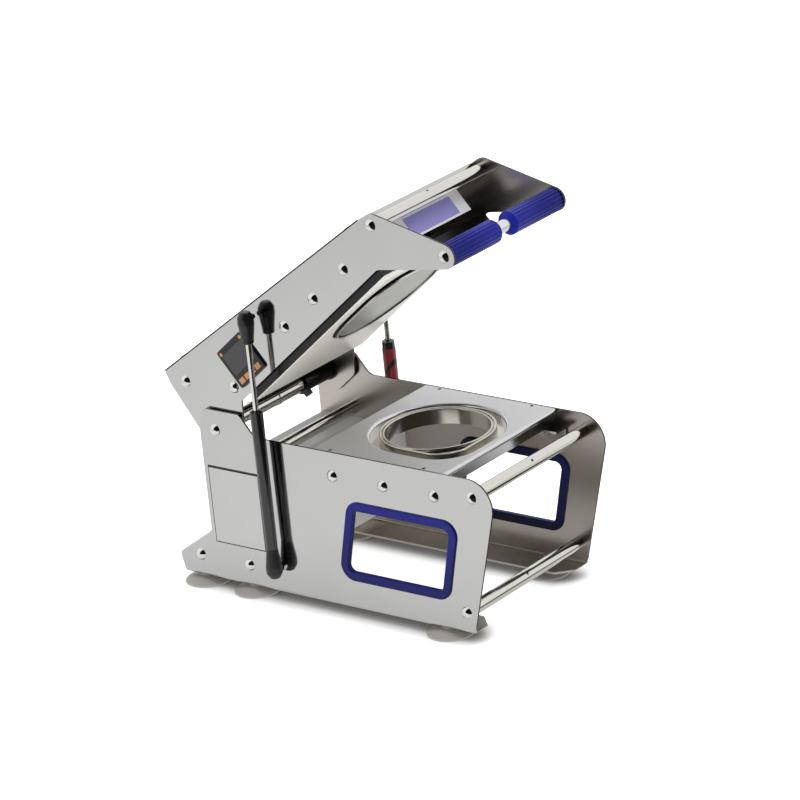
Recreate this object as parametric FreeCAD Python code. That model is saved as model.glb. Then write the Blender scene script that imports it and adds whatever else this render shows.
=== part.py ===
import FreeCAD, Part
import math
import os

from FreeCAD import Vector

# Manual cup sealing machine. Two folded stainless side plates carry a table with a ring mould;
# an arm of two plates turns on a shaft at the top of the tower and lowers a sprung heater head
# with a film cutter on the mould. Two gas springs hold the arm open.
# Millimetres. X runs from the tower at the back to the operator, Y from the operator's left
# to the right, Z up. X is 0 at the tower's back edge and Z is 0 at the plates' lower edge until
# the parts are saved; the arm is drawn closed and is then raised to its open stop.

# Side plates
WIDTH = 260.0                   # over the outer faces of the side plates
SHEET = 3.0                     # side and arm plates
HEEL_BACK = 63.0                # how far the heel stands out behind the tower
HEEL_TOE = 55.5                 # the same at the lower edge
HEEL_H = 29.0
HEEL_TOP = 72.0                 # where the heel meets the tower's back edge
TABLE_H = 225.0                 # table top and the plates' long top edge
TOWER_H = TABLE_H + 29.0
TOWER_BEVEL_X = 10.0
TOWER_BEVEL_H = 30.0
TOWER_TOP_X = 72.0
TOWER_SLOPE_X = 95.5
FRONT_FOOT_X = 445.0
FRONT_LEAN = math.radians(14.8)
FRONT_CORNER_R = 38.0
FLANGE_W = 50.0                 # inward fold along the bottom
FOLD_R = 5.0                    # outside radius of the fold
FLANGE_CHAMFER = 22.0

# Hand hole in each side plate, given over its rubber trim
HOLE_X = 222.0
HOLE_Z = 42.0
HOLE_LENGTH = 187.0
HOLE_HEIGHT = TABLE_H - HOLE_Z - 65.5
HOLE_LEAN = math.radians(13.0)
HOLE_CORNER_R = 22.0
TRIM_W = 13.0
TRIM_PROUD = 3.0
TRIM_EDGE_R = 2.2

# Service cover on the left side plate, over a window into the electrics box
COVER_X = 9.3
COVER_Z = 59.0
COVER_LENGTH = 86.0
COVER_HEIGHT = 109.5
COVER_SHEET = 1.2
GASKET_T = 0.8
GASKET_RIM = 2.2
WINDOW_LENGTH = 44.0
WINDOW_HEIGHT = 84.0

# Tie rods and domed screws
ROD_R = 9.0
SCREW_R = 4.95
SCREW_HOLE_R = 5.05
SCREW_DEPTH = 20.0
HEAD_R = 8.75
HEAD_H = 5.6
TOMMY_R = 2.0
FRONT_UPPER_ROD = (FRONT_FOOT_X + 15.0, TABLE_H - 26.0)
FRONT_LOWER_ROD = (FRONT_FOOT_X - 10.3, 30.2)
HEEL_ROD = (-25.0, 31.7)
TOWER_LOWER_ROD = (62.0, 31.1)
TOWER_UPPER_ROD = (63.0, TABLE_H - 53.0)

# Table tray, its rails and the ring mould
TABLE_BACK = 195.0
TABLE_FRONT = FRONT_FOOT_X - 28.0
TABLE_SHEET = 3.0
TABLE_DEPTH = 23.0
TABLE_SIDE_GAP = 0.4
SKIRT_SETBACK = 5.0
LIP_DEPTH = 9.0
LIP_R = 4.3
RAIL_BACK = 185.0
RAIL_FRONT = TABLE_FRONT + 15.0
RAIL_LEG = 25.0
RAIL_T = 3.0
RAIL_SCREW_DROP = 11.3          # below the rail's top face
RAIL_SCREWS = (226.7, 312.3, 397.4)
MOULD_X = 311.0
FILM_CORNER = 41.0              # how far the film's tab corner has its centre off the mould's axis
TABLE_HOLE_R = 92.0
HOLE_ROUND = 5.0                # drawn edge of the table's hole
COLLAR_T = 2.0
MOAT_DEPTH = 11.0
MOULD_FLANGE_T = 3.0
MOULD_PLATE_Y = 114.0           # half the mould's base plate
MOULD_PLATE_CORNER = 8.0
RIM_R = 80.0
WELL_R = 72.0
RIM_PROUD = 1.0                 # the mould's rim above the table
BEAD_W = 3.2                    # outer bead, which follows the film's outline
BEAD_ROUND = 1.4
RIM_W = 3.4                     # round bead at the well
RIM_ROUND = 1.5
POCKET_DEPTH = 4.0              # between the two beads
RING_WALL = 5.0
WELL_DEPTH = 22.0
MOULD_STUD_X = 88.0
MOULD_STUD_Y = 106.0
MOULD_STUD_R = 3.0
TABLE_HOLES_X = (222.0, 379.5)
TABLE_HOLE_EDGE = 5.0
TABLE_SMALL_HOLE_R = 2.6

# Suction feet
FOOT_H = 14.0
FOOT_R = 33.0
FOOT_RIM_W = 5.0                # flat ring that it stands on
FOOT_RIM_T = 2.5
FOOT_TOP_R = 11.0
FOOT_CONE_H = 8.5
FOOT_HOLLOW = 3.0
FOOT_STUD_R = 4.0
FOOT_INSET = 19.0               # from the plate's outer face to the foot's centre
FEET_X = (-32.0, 56.0, 390.0)

# Electrics box between the side plates
BOX_BACK = 3.0
BOX_FRONT = 149.0
BOX_BOTTOM = 52.0
BOX_TOP = 156.0
BOX_WALL = 1.5
SWITCH_Z = 123.0
INLET_Z = 83.0
FITTING_INSET = 17.0            # of the switch and the inlet from the left plate's outer face
SWITCH_W = 15.0
SWITCH_H = 21.0
INLET_R = 7.0
ROCKER_PIN = 1.0                # of the rocker, in front of the box's back face
ROCKER_DEG = 10.0
ROCKER_PIN_R = 1.2
ROCKER_PIN_OUT = 1.6            # how far the pin stands out of the rocker's sides
SWITCH_WALL = 2.5
SWITCH_DEPTH = 16.0
GLAND_BORE_R = 3.4
GLAND_NUT_T = 3.5
GLAND_CAP_T = 4.0
GLAND_NECK = 8.0
RELAY = (95.0, 135.0, -60.0, -2.0, 30.0)     # back, front, left, right and height
TERMINALS = (40.0, 60.0, -60.0, 40.0, 18.0)
TERMINAL_PITCH = 15.0
TERMINAL_SLOT = 2.5

# Hinge of the arm
PIVOT = (27.1, 225.2)
OPEN_DEG = 40.8
PIVOT_R = 8.0
RUNNING = 0.05                  # radial clearance of a turning or sliding fit
ARM_INSET = 6.0                 # arm plate's outer face inside the side plate's outer face
WASHER_R = 15.0
WASHER_GAP = 0.1
TUBE_R = 11.0
TUBE_RINGS_Y = (-50.0, 0.0)
TUBE_RING_H = 1.2
HUB_R = 15.0
HUB_T = 4.0
SLEEVE_R = 13.0
SLEEVE_LENGTH = 57.0
CLAMP_R = 15.0
CLAMP_W = 8.0

# Arm plates, drawn closed
ARM_BACK_TOP = (9.5, 333.4)
ARM_FRONT_TOP = (486.1, 291.8)
ARM_BOTTOM = 229.5
ARM_FRONT_R = 18.0
HANDLE = (545.4, 180.8)
NOSE_R = 17.0
NOSE_FRONT_DEG = 35.9           # where the front edge touches the nose
NOSE_BACK_DEG = -123.6
NOTCH_X = 438.5
LOBE_FRONT_X = 95.5
LOBE_BOTTOM = 194.0
LOBE_BACK_X = -1.0
REAR_TOP_AXLE = (30.5, 303.6)
REAR_LOW_AXLE = (99.2, 250.5)
CROSS_RODS_X = (242.0, 315.0, 390.0)
CROSS_RODS_Z = 261.5
FRONT_TOP_ROD = (475.2, 277.8)
AXLE_R = 6.0
HANDLE_BAR_R = 8.75
GRIP_R = 16.5
GRIP_LENGTH = 108.0
GRIP_END_GAP = 1.0
GRIP_ROUND = 6.0                # of its inner end
GRIP_PLAIN = 10.0               # ungrooved length at that end
GRIP_RIBS = 20
GRIP_GROOVE_R = 1.6
SPINDLE_R = 12.0
SPINDLE_FLANGE_R = 21.0
SPINDLE_FLANGE_T = 4.0
ROLLER_R = 9.5
END_PLAY = 0.5

# Arm's cover and front sheet
ROOF_T = 2.0
ROOF_FRONT_X = 463.0
ROOF_LIP = 7.0
TAB_LENGTH = 20.0
TAB_WIDTH = 15.0
ROOF_SCREWS_X = (45.0, 430.0)
ROOF_SCREW_R = 2.5
FASCIA_X = 454.0
FASCIA_T = 1.5
FASCIA_BOTTOM = 240.0
FASCIA_WIDTH = 156.0
PAN_HEAD_R = 4.2
PAN_HEAD_H = 2.2
LABEL_LENGTH = 101.0
LABEL_HEIGHT = 27.0
LABEL_BOTTOM = 243.0
LABEL_SHIFT = 5.5
LABEL_T = 0.6

# Temperature controller on the left arm plate
CONTROL_X = 143.6
CONTROL_Z = 270.0
CONTROL_SIDE = 60.0
CONTROL_PROUD = 3.5
CONTROL_CORNER_R = 4.0
CONTROL_BODY = 45.0
CONTROL_BODY_DEPTH = 58.0
CONTROL_CUTOUT = 46.0
PANE_LENGTH = 50.0
PANE_HEIGHT = 32.0
PANE_RISE = 5.0
PANE_T = 0.8
KEY_LENGTH = 10.0
KEY_HEIGHT = 8.0
KEY_PITCH = 13.0
KEY_DROP = 22.0                 # key row's centre below the controller's centre
KEY_GAP = 0.35
KEY_PROUD = 0.9
KEY_POCKET = 3.0
KEY_T = 2.8
LAMP_R = 2.6
LAMP_INSET = 6.0

# Heater head, drawn closed but hanging at the bottom of its travel
HEAD_BACK = MOULD_X - 199.0
HEAD_FRONT = MOULD_X + 126.0
HEAD_WIDTH = 234.0
HEAD_BOTTOM = 217.0
HEAD_TOP = 229.0
HEAD_FRAME_T = 3.0
FACE_T = 1.5
CARRIER_T = 3.0
HEATER_R = 82.5
HEATER_SHUT = 226.5             # its face when the head rests on the mould
LIFT = 12.5                     # how far the head hangs below that when the arm is open
HEATER_BOTTOM = HEATER_SHUT - LIFT
HEATER_T = 9.0
HEATER_BOSS_R = 38.0
ELEMENT_R = 66.0
ELEMENT_WIRE_R = 3.0
CUTTER_R = 88.0
CUTTER_WALL = 3.5
CUTTER_BOTTOM = 212.0
CUTTER_BEVEL = 2.5
FACE_HOLE_R = 91.0
FACE_SLOT_X = MOULD_X - 103.0
FACE_SLOT_W = 3.0
FACE_SLOTS_Y = ((-9.0, 3.0), (33.0, 49.0))
POST_R = 5.0
POSTS_X = (MOULD_X - 32.5, MOULD_X + 41.5)
POST_Y = 45.0
POST_TOP = 286.0
POST_FOOT_R = 9.5
POST_FOOT_T = 3.0
POST_NUT_R = 8.0
POST_NUT_H = 6.0
GUIDE_T = 4.0
GUIDE_BACK = 228.0
GUIDE_FRONT = 404.0
GUIDE_WIDTH = 124.0
GUIDE_SCREW_R = 3.0
GUIDE_SCREW_Y = 22.0
SPRING_R = 8.5
SLIDE_GAP = 0.3

# Gas springs
SPRING_OFFSET = 16.0            # spring's axis outside the side plate's outer face
SPRING_FOOT = (120.1, 40.8)
SPRING_HEAD = (213.7, 300.4)    # on the closed arm
CYLINDER_R = 9.0
CYLINDER_LENGTH = 234.0         # from the lower stud to the cylinder's mouth
CYLINDER_BORE_R = 7.0
GLAND_LENGTH = 8.0
PISTON_R = 6.6
PISTON_T = 8.0
SPRING_ROD_R = 4.0
SOCKET_LENGTH = 33.5            # below the ball
SOCKET_TOP = 12.0               # above it
SOCKET_R = 11.5
STUD_R = 3.5
BALL_R = 5.5
STUD_FLANGE_R = 7.0
STUD_FLANGE_T = 3.0
SLEEVE_LABEL_T = 0.4
SLEEVE_LABEL_BOTTOM = 60.0
SLEEVE_LABEL_TOP = 222.0

# Worked out from the sizes above
HALF = WIDTH / 2
INNER = HALF - SHEET
ARM_OUT = HALF - ARM_INSET
ARM_IN = ARM_OUT - SHEET
RAIL_TOP = TABLE_H - TABLE_DEPTH
RAIL_SCREW_Z = RAIL_TOP - RAIL_SCREW_DROP
MOAT_FLOOR = TABLE_H - MOAT_DEPTH
RIM_TOP = TABLE_H + RIM_PROUD
FRONT_TOP_X = FRONT_FOOT_X + TABLE_H * math.tan(FRONT_LEAN)
ROOF_SLOPE = (ARM_BACK_TOP[1] - ARM_FRONT_TOP[1]) / (ARM_FRONT_TOP[0] - ARM_BACK_TOP[0])
SPRING_Y = HALF + SPRING_OFFSET
CARRIER_TOP = HEAD_TOP + CARRIER_T
GUIDE_BOTTOM = CROSS_RODS_Z + ROD_R
GUIDE_TOP = GUIDE_BOTTOM + GUIDE_T
FITTING_Y = FITTING_INSET - HALF
KEY_COUNT = 4

# The machine's middle, between the back of the rear feet and the side plates' front corners
FRONT_REACH = (FRONT_FOOT_X + (TABLE_H - FRONT_CORNER_R) * math.tan(FRONT_LEAN)
               - FRONT_CORNER_R / math.cos(FRONT_LEAN) + FRONT_CORNER_R)
REAR_REACH = FEET_X[0] - FOOT_R
MIDDLE_X = (FRONT_REACH + REAR_REACH) / 2


def upright(a, b):
    """A point of a side view."""
    return Vector(a, 0, b)


def flat(a, b):
    """A point of a plan."""
    return Vector(a, b, 0)


def endwise(a, b):
    """A point of a section across the machine."""
    return Vector(0, a, b)


def outline(points, place=upright):
    """Closed wire through (a, b, radius) corners; a corner with a radius becomes a tangent arc."""
    corners = [place(a, b) for a, b, radius in points]
    spans = []
    for i, (a, b, radius) in enumerate(points):
        here = corners[i]
        back = (corners[i - 1] - here).normalize()
        ahead = (corners[(i + 1) % len(points)] - here).normalize()
        if radius == 0:
            spans.append((here, None, here))
            continue
        half_angle = back.getAngle(ahead) / 2
        reach = radius / math.tan(half_angle)
        middle = here + (back + ahead).normalize() * (radius / math.sin(half_angle) - radius)
        spans.append((here + back * reach, middle, here + ahead * reach))
    edges = []
    for i, (start, middle, end) in enumerate(spans):
        if middle is not None:
            edges.append(Part.Arc(start, middle, end).toShape())
        following = spans[(i + 1) % len(spans)][0]
        if (following - end).Length > 1e-6:
            edges.append(Part.LineSegment(end, following).toShape())
    return Part.Wire(edges)


def slab(points, y0, y1):
    """Side view outline as a plate from y0 to y1."""
    return slab_of(outline(points), y0, y1)


def slab_of(wire, y0, y1):
    plate = Part.Face(wire).extrude(Vector(0, y1 - y0, 0))
    plate.translate(Vector(0, y0, 0))
    return plate


def deck(points, z0, z1):
    """Plan outline as a plate from z0 to z1."""
    plate = Part.Face(outline(points, flat)).extrude(Vector(0, 0, z1 - z0))
    plate.translate(Vector(0, 0, z0))
    return plate


def block(x0, x1, y0, y1, z0, z1):
    return Part.makeBox(x1 - x0, y1 - y0, z1 - z0, Vector(x0, y0, z0))


def bar(spot, radius, y0, y1):
    """Round bar across the machine at the side view point spot."""
    return Part.makeCylinder(radius, y1 - y0, Vector(spot[0], y0, spot[1]), Vector(0, 1, 0))


def post(x, y, radius, z0, z1):
    return Part.makeCylinder(radius, z1 - z0, Vector(x, y, z0))


def turned(points):
    """Solid turned about Z from (radius, height, corner radius) points."""
    return Part.Face(outline(points)).revolve(Vector(0, 0, 0), Vector(0, 0, 1), 360)


def across(shape, spot, y, side):
    """Lays a piece drawn along +Z across the machine: it points outwards at face y of that side."""
    laid = shape.copy()
    laid.rotate(Vector(0, 0, 0), Vector(1, 0, 0), -90 * side)
    laid.translate(Vector(spot[0], y * side, spot[1]))
    return laid


def mirrored(shape):
    """The right-hand copy of a left-hand piece."""
    return shape.mirror(Vector(0, 0, 0), Vector(0, 1, 0))


def raised(shape):
    """Turns a piece drawn on the closed arm to the arm's open stop."""
    lifted = shape.copy()
    lifted.rotate(Vector(PIVOT[0], 0, PIVOT[1]), Vector(0, 1, 0), -OPEN_DEG)
    return lifted


def raised_point(spot):
    """Where a side view point of the closed arm goes at the open stop."""
    turn = math.radians(OPEN_DEG)
    dx = spot[0] - PIVOT[0]
    dz = spot[1] - PIVOT[1]
    return (PIVOT[0] + dx * math.cos(turn) - dz * math.sin(turn),
            PIVOT[1] + dx * math.sin(turn) + dz * math.cos(turn))


def group(*shapes):
    return Part.makeCompound(list(shapes))


def domed_screw(grip):
    """Polished screw with a plain domed head; grip is the shank's length under the head."""
    ball_r = (HEAD_R ** 2 + HEAD_H ** 2) / (2 * HEAD_H)
    ball = Part.makeSphere(ball_r, Vector(0, 0, HEAD_H - ball_r))
    head = ball.common(Part.makeCylinder(HEAD_R, HEAD_H))
    shank = Part.makeCylinder(SCREW_R, grip, Vector(0, 0, -grip))
    return head.fuse(shank).removeSplitter()


def tie_rod(spot, radius, reach, tommy=False):
    """Round spacer rod between two plates, tapped at both ends."""
    rod = bar(spot, radius, -reach, reach)
    for side in (-1, 1):
        tapping = Part.makeCylinder(SCREW_HOLE_R, SCREW_DEPTH, Vector(0, 0, -SCREW_DEPTH))
        rod = rod.cut(across(tapping, spot, reach, side))
    if tommy:
        slope = Vector(1, 0, 1).normalize()
        start = Vector(spot[0], 0, spot[1]) - slope * 2 * radius
        rod = rod.cut(Part.makeCylinder(TOMMY_R, 4 * radius, start, slope))
    return rod


def plate_outline():
    return [(-HEEL_TOE, 0, 4), (-HEEL_BACK, HEEL_H, 6), (0, HEEL_TOP, 8),
            (0, TOWER_H - TOWER_BEVEL_H, 10), (TOWER_BEVEL_X, TOWER_H, 6),
            (TOWER_TOP_X, TOWER_H, 6), (TOWER_SLOPE_X, TABLE_H, 18),
            (FRONT_TOP_X, TABLE_H, FRONT_CORNER_R), (FRONT_FOOT_X, 0, 4)]


def hole_wire(offset):
    """Outline of the hand hole's trim, moved inwards by offset."""
    shift = HOLE_HEIGHT * math.tan(HOLE_LEAN)
    corners = [(HOLE_X, HOLE_Z, HOLE_CORNER_R), (HOLE_X + shift, HOLE_Z + HOLE_HEIGHT, HOLE_CORNER_R),
               (HOLE_X + shift + HOLE_LENGTH, HOLE_Z + HOLE_HEIGHT, HOLE_CORNER_R),
               (HOLE_X + HOLE_LENGTH, HOLE_Z, HOLE_CORNER_R)]
    wire = outline(corners)
    if offset == 0:
        return wire
    return wire.makeOffset2D(-offset)


def film_wire(radius):
    """Outline of the cut film, a circle with a rounded square corner at the front left for its tab;
    outlines of different radius run side by side."""
    slant = math.sqrt(0.5)
    front = flat(MOULD_X + radius, 0)
    left = flat(MOULD_X, -radius)
    far = flat(MOULD_X - radius * slant, radius * slant)
    left_end = flat(MOULD_X + FILM_CORNER, -radius)
    front_end = flat(MOULD_X + radius, -FILM_CORNER)
    reach = FILM_CORNER + (radius - FILM_CORNER) * slant
    tip = flat(MOULD_X + reach, -reach)
    return Part.Wire([Part.Arc(front, far, left).toShape(), Part.LineSegment(left, left_end).toShape(),
                      Part.Arc(left_end, tip, front_end).toShape(),
                      Part.LineSegment(front_end, front).toShape()])


def film_solid(radius, z0, z1):
    solid = Part.Face(film_wire(radius)).extrude(Vector(0, 0, z1 - z0))
    solid.translate(Vector(0, 0, z0))
    return solid


def film_ring(outer, inner, z0, z1):
    return film_solid(outer, z0, z1).cut(film_solid(inner, z0 - 1, z1 + 1))


def edges_at(shape, z, reach=None):
    """Edges that lie in the plane at height z, only those within reach of the mould's axis if given."""
    found = [edge for edge in shape.Edges
             if abs(edge.BoundBox.ZMin - z) < 0.01 and abs(edge.BoundBox.ZMax - z) < 0.01]
    if reach is None:
        return found
    return [edge for edge in found
            if edge.BoundBox.XMin > MOULD_X - reach and edge.BoundBox.XMax < MOULD_X + reach
            and edge.BoundBox.YMin > -reach and edge.BoundBox.YMax < reach]


def base_screw_spots():
    return [PIVOT, FRONT_UPPER_ROD, FRONT_LOWER_ROD, HEEL_ROD, TOWER_LOWER_ROD]


def rail_screw_spots():
    return [(x, RAIL_SCREW_Z) for x in RAIL_SCREWS]


def side_plate(windowed):
    """Left side plate with its bottom fold, drilled for its screws."""
    section = outline([(-HALF, 2 * TABLE_H, 0), (-HALF, 0, FOLD_R), (FLANGE_W - HALF, 0, 0),
                       (FLANGE_W - HALF, SHEET, 0), (-INNER, SHEET, FOLD_R - SHEET),
                       (-INNER, 2 * TABLE_H, 0)], endwise)
    length = FRONT_TOP_X + HEEL_BACK
    folded = Part.Face(section).extrude(Vector(length, 0, 0))
    folded.translate(Vector(-HEEL_BACK, 0, 0))
    plate = folded.common(slab(plate_outline(), -HALF, FLANGE_W - HALF))
    edge = FLANGE_W - HALF
    for x, way in ((FRONT_FOOT_X, -1), (-HEEL_TOE, 1)):
        corner = deck([(x - way, edge + 1, 0), (x + way * FLANGE_CHAMFER, edge + 1, 0),
                       (x - way, edge - FLANGE_CHAMFER, 0)], -1, SHEET + 1)
        plate = plate.cut(corner)
    plate = plate.cut(slab_of(hole_wire(TRIM_W / 2), -HALF - 1, -INNER + 1))
    for spot in base_screw_spots() + rail_screw_spots() + [SPRING_FOOT]:
        plate = plate.cut(bar(spot, SCREW_HOLE_R, -HALF - 1, -INNER + 1))
    for x in FEET_X:
        plate = plate.cut(post(x, FOOT_INSET - HALF, FOOT_STUD_R + 0.1, -1, SHEET + 1))
    if windowed:
        plate = plate.cut(service_window(-HALF - 1, -INNER + 1))
    return plate


def service_window(y0, y1):
    x0 = COVER_X + (COVER_LENGTH - WINDOW_LENGTH) / 2
    z0 = COVER_Z + (COVER_HEIGHT - WINDOW_HEIGHT) / 2
    return block(x0, x0 + WINDOW_LENGTH, y0, y1, z0, z0 + WINDOW_HEIGHT)


def service_gasket():
    sheet = block(COVER_X - GASKET_RIM, COVER_X + COVER_LENGTH + GASKET_RIM, -HALF - GASKET_T, -HALF,
                  COVER_Z - GASKET_RIM, COVER_Z + COVER_HEIGHT + GASKET_RIM)
    return sheet.cut(service_window(-HALF - GASKET_T - 1, -HALF + 1))


def service_cover():
    face = -HALF - GASKET_T
    return block(COVER_X, COVER_X + COVER_LENGTH, face - COVER_SHEET, face,
                 COVER_Z, COVER_Z + COVER_HEIGHT)


def hand_hole_trim():
    """Rubber channel pushed on the edge of the hand hole."""
    ring = slab_of(hole_wire(0), -HALF - TRIM_PROUD, -INNER + TRIM_PROUD)
    ring = ring.cut(slab_of(hole_wire(TRIM_W), -HALF - TRIM_PROUD - 1, -INNER + TRIM_PROUD + 1))
    faces_y = (-HALF - TRIM_PROUD, -INNER + TRIM_PROUD)
    rims = [edge for edge in ring.Edges
            if any(abs(edge.BoundBox.YMin - y) < 0.01 and abs(edge.BoundBox.YMax - y) < 0.01
                   for y in faces_y)]
    ring = ring.makeFillet(TRIM_EDGE_R, rims)
    groove = slab_of(hole_wire(0), -HALF, -INNER).cut(
        slab_of(hole_wire(TRIM_W / 2), -HALF - 1, -INNER + 1))
    wide = slab_of(outline([(0, -HOLE_Z, 0), (0, TABLE_H, 0), (FRONT_TOP_X, TABLE_H, 0),
                            (FRONT_TOP_X, -HOLE_Z, 0)]), -HALF, -INNER)
    groove = groove.fuse(wide.cut(slab_of(hole_wire(0), -HALF - 1, -INNER + 1)))
    return ring.cut(groove.removeSplitter())


def side_screws(side):
    """Screws of one side plate; those of the rails have nuts behind them."""
    pieces = []
    for spot in base_screw_spots():
        pieces.append(across(domed_screw(SHEET + SCREW_DEPTH - 1), spot, HALF, side))
    for spot in rail_screw_spots():
        pieces.append(across(domed_screw(SHEET + RAIL_T + 9), spot, HALF, side))
        pieces.append(across(hex_nut(SCREW_R, 8.0), spot, INNER - RAIL_T, side))
    return group(*pieces)


def hex_nut(bore_r, width_r):
    """Nut drawn from z = -6 to 0 round a bore."""
    points = [(width_r * math.cos(math.radians(60 * i)), width_r * math.sin(math.radians(60 * i)), 0)
              for i in range(6)]
    return deck(points, -6.0, 0.0).cut(Part.makeCylinder(bore_r, 8, Vector(0, 0, -7)))


def table():
    """Inverted tray with a rolled front lip and a drawn hole for the mould."""
    side = INNER - TABLE_SIDE_GAP
    front = TABLE_FRONT - SKIRT_SETBACK
    tray = block(TABLE_BACK, front, -side, side, RAIL_TOP, TABLE_H)
    hollow = block(TABLE_BACK + TABLE_SHEET, front - TABLE_SHEET, -side + TABLE_SHEET,
                   side - TABLE_SHEET, RAIL_TOP - 1, TABLE_H - TABLE_SHEET)
    tray = tray.cut(hollow)
    lip = slab([(front - TABLE_SHEET, TABLE_H - LIP_DEPTH, 0), (front - TABLE_SHEET, TABLE_H, 0),
                (TABLE_FRONT, TABLE_H, LIP_R), (TABLE_FRONT, TABLE_H - LIP_DEPTH, LIP_R)], -side, side)
    tray = tray.fuse(lip)
    collar = film_solid(TABLE_HOLE_R + COLLAR_T, MOAT_FLOOR, TABLE_H - 1)
    tray = tray.fuse(collar).cut(film_solid(TABLE_HOLE_R, RAIL_TOP, TABLE_H + 1)).removeSplitter()
    tray = tray.makeFillet(HOLE_ROUND, edges_at(tray, TABLE_H, TABLE_HOLE_R + 1))
    for x in TABLE_HOLES_X:
        for way in (-1, 1):
            tray = tray.cut(post(x, way * (INNER - TABLE_HOLE_EDGE), TABLE_SMALL_HOLE_R,
                                 TABLE_H - TABLE_SHEET - 1, TABLE_H + 1))
    return tray.removeSplitter()


def mould_stud_spots():
    return [(MOULD_X + a * MOULD_STUD_X, b * MOULD_STUD_Y) for a in (-1, 1) for b in (-1, 1)]


def cup_mould():
    """Ring that the cup hangs in: the film is sealed on its round bead and cut round its outer bead."""
    under = MOAT_FLOOR - MOULD_FLANGE_T
    half = TABLE_FRONT - SKIRT_SETBACK - TABLE_SHEET - TABLE_SIDE_GAP - MOULD_X
    corners = [(MOULD_X + a * half, b * MOULD_PLATE_Y, MOULD_PLATE_CORNER)
               for a, b in ((-1, -1), (1, -1), (1, 1), (-1, 1))]
    ring = deck(corners, under, MOAT_FLOOR)
    ring = ring.fuse(film_solid(RIM_R, MOAT_FLOOR, RIM_TOP - POCKET_DEPTH))
    bead = film_ring(RIM_R, RIM_R - BEAD_W, RIM_TOP - POCKET_DEPTH - 1, RIM_TOP)
    bead = bead.makeFillet(BEAD_ROUND, edges_at(bead, RIM_TOP))
    well = turned([(WELL_R, RIM_TOP - WELL_DEPTH, 0), (WELL_R + RING_WALL, RIM_TOP - WELL_DEPTH, 0),
                   (WELL_R + RING_WALL, RIM_TOP - POCKET_DEPTH - 1, 0),
                   (WELL_R + RIM_W, RIM_TOP - POCKET_DEPTH - 1, 0),
                   (WELL_R + RIM_W, RIM_TOP, RIM_ROUND), (WELL_R, RIM_TOP, RIM_ROUND)])
    well.translate(Vector(MOULD_X, 0, 0))
    ring = ring.cut(post(MOULD_X, 0, WELL_R, under - 1, RIM_TOP)).fuse([bead, well])
    for x, y in mould_stud_spots():
        ring = ring.cut(post(x, y, MOULD_STUD_R + 0.1, under - 1, MOAT_FLOOR + 1))
    return ring.removeSplitter()


def mould_studs():
    """Studs welded under the table sheet, with a spacer and a nut each, that carry the mould."""
    under = MOAT_FLOOR - MOULD_FLANGE_T
    pieces = []
    for x, y in mould_stud_spots():
        stud = post(x, y, MOULD_STUD_R, under - 8, TABLE_H - TABLE_SHEET)
        spacer = post(x, y, MOULD_STUD_R + 2, MOAT_FLOOR, TABLE_H - TABLE_SHEET)
        nut = hex_nut(MOULD_STUD_R - 0.5, 5.0)
        nut.translate(Vector(x, y, under))
        pieces.append(stud.fuse([spacer, nut]).removeSplitter())
    return group(*pieces)


def table_rail():
    """Angle under the table's left edge, screwed to the side plate."""
    angle = outline([(-INNER, RAIL_TOP, 0), (RAIL_LEG - INNER, RAIL_TOP, 0),
                     (RAIL_LEG - INNER, RAIL_TOP - RAIL_T, 0),
                     (RAIL_T - INNER, RAIL_TOP - RAIL_T, 1.5),
                     (RAIL_T - INNER, RAIL_TOP - RAIL_LEG, 0), (-INNER, RAIL_TOP - RAIL_LEG, 0)], endwise)
    rail = Part.Face(angle).extrude(Vector(RAIL_FRONT - RAIL_BACK, 0, 0))
    rail.translate(Vector(RAIL_BACK, 0, 0))
    for spot in rail_screw_spots():
        rail = rail.cut(bar(spot, SCREW_HOLE_R, -HALF, 1 + RAIL_T - INNER))
    return rail


def foot():
    """Rubber suction foot, hollow below."""
    cone = turned([(0, FOOT_HOLLOW + 0.5 - FOOT_H, 0), (FOOT_TOP_R, FOOT_HOLLOW - FOOT_H, 0),
                   (FOOT_R - FOOT_RIM_W, -FOOT_H, 0), (FOOT_R, -FOOT_H, 0), (FOOT_R, -FOOT_H + FOOT_RIM_T, 1),
                   (FOOT_TOP_R + 3, -FOOT_H + FOOT_CONE_H, 6), (FOOT_TOP_R, 0, 0), (0, 0, 0)])
    return cone.cut(Part.makeCylinder(FOOT_STUD_R, FOOT_CONE_H - 1, Vector(0, 0, -FOOT_CONE_H + 1)))


def feet_spots():
    return [(x, way * (HALF - FOOT_INSET)) for x in FEET_X for way in (-1, 1)]


def feet():
    pieces = []
    for x, y in feet_spots():
        piece = foot()
        piece.translate(Vector(x, y, 0))
        pieces.append(piece)
    return group(*pieces)


def foot_studs():
    """Stud of each foot with its nut on the flange."""
    pieces = []
    for x, y in feet_spots():
        stud = post(x, y, FOOT_STUD_R, -FOOT_CONE_H + 2, SHEET + 9)
        nut = hex_nut(FOOT_STUD_R - 0.5, 7.5)
        nut.translate(Vector(x, y, SHEET + 6))
        pieces.append(stud.fuse(nut).removeSplitter())
    return group(*pieces)


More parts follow.
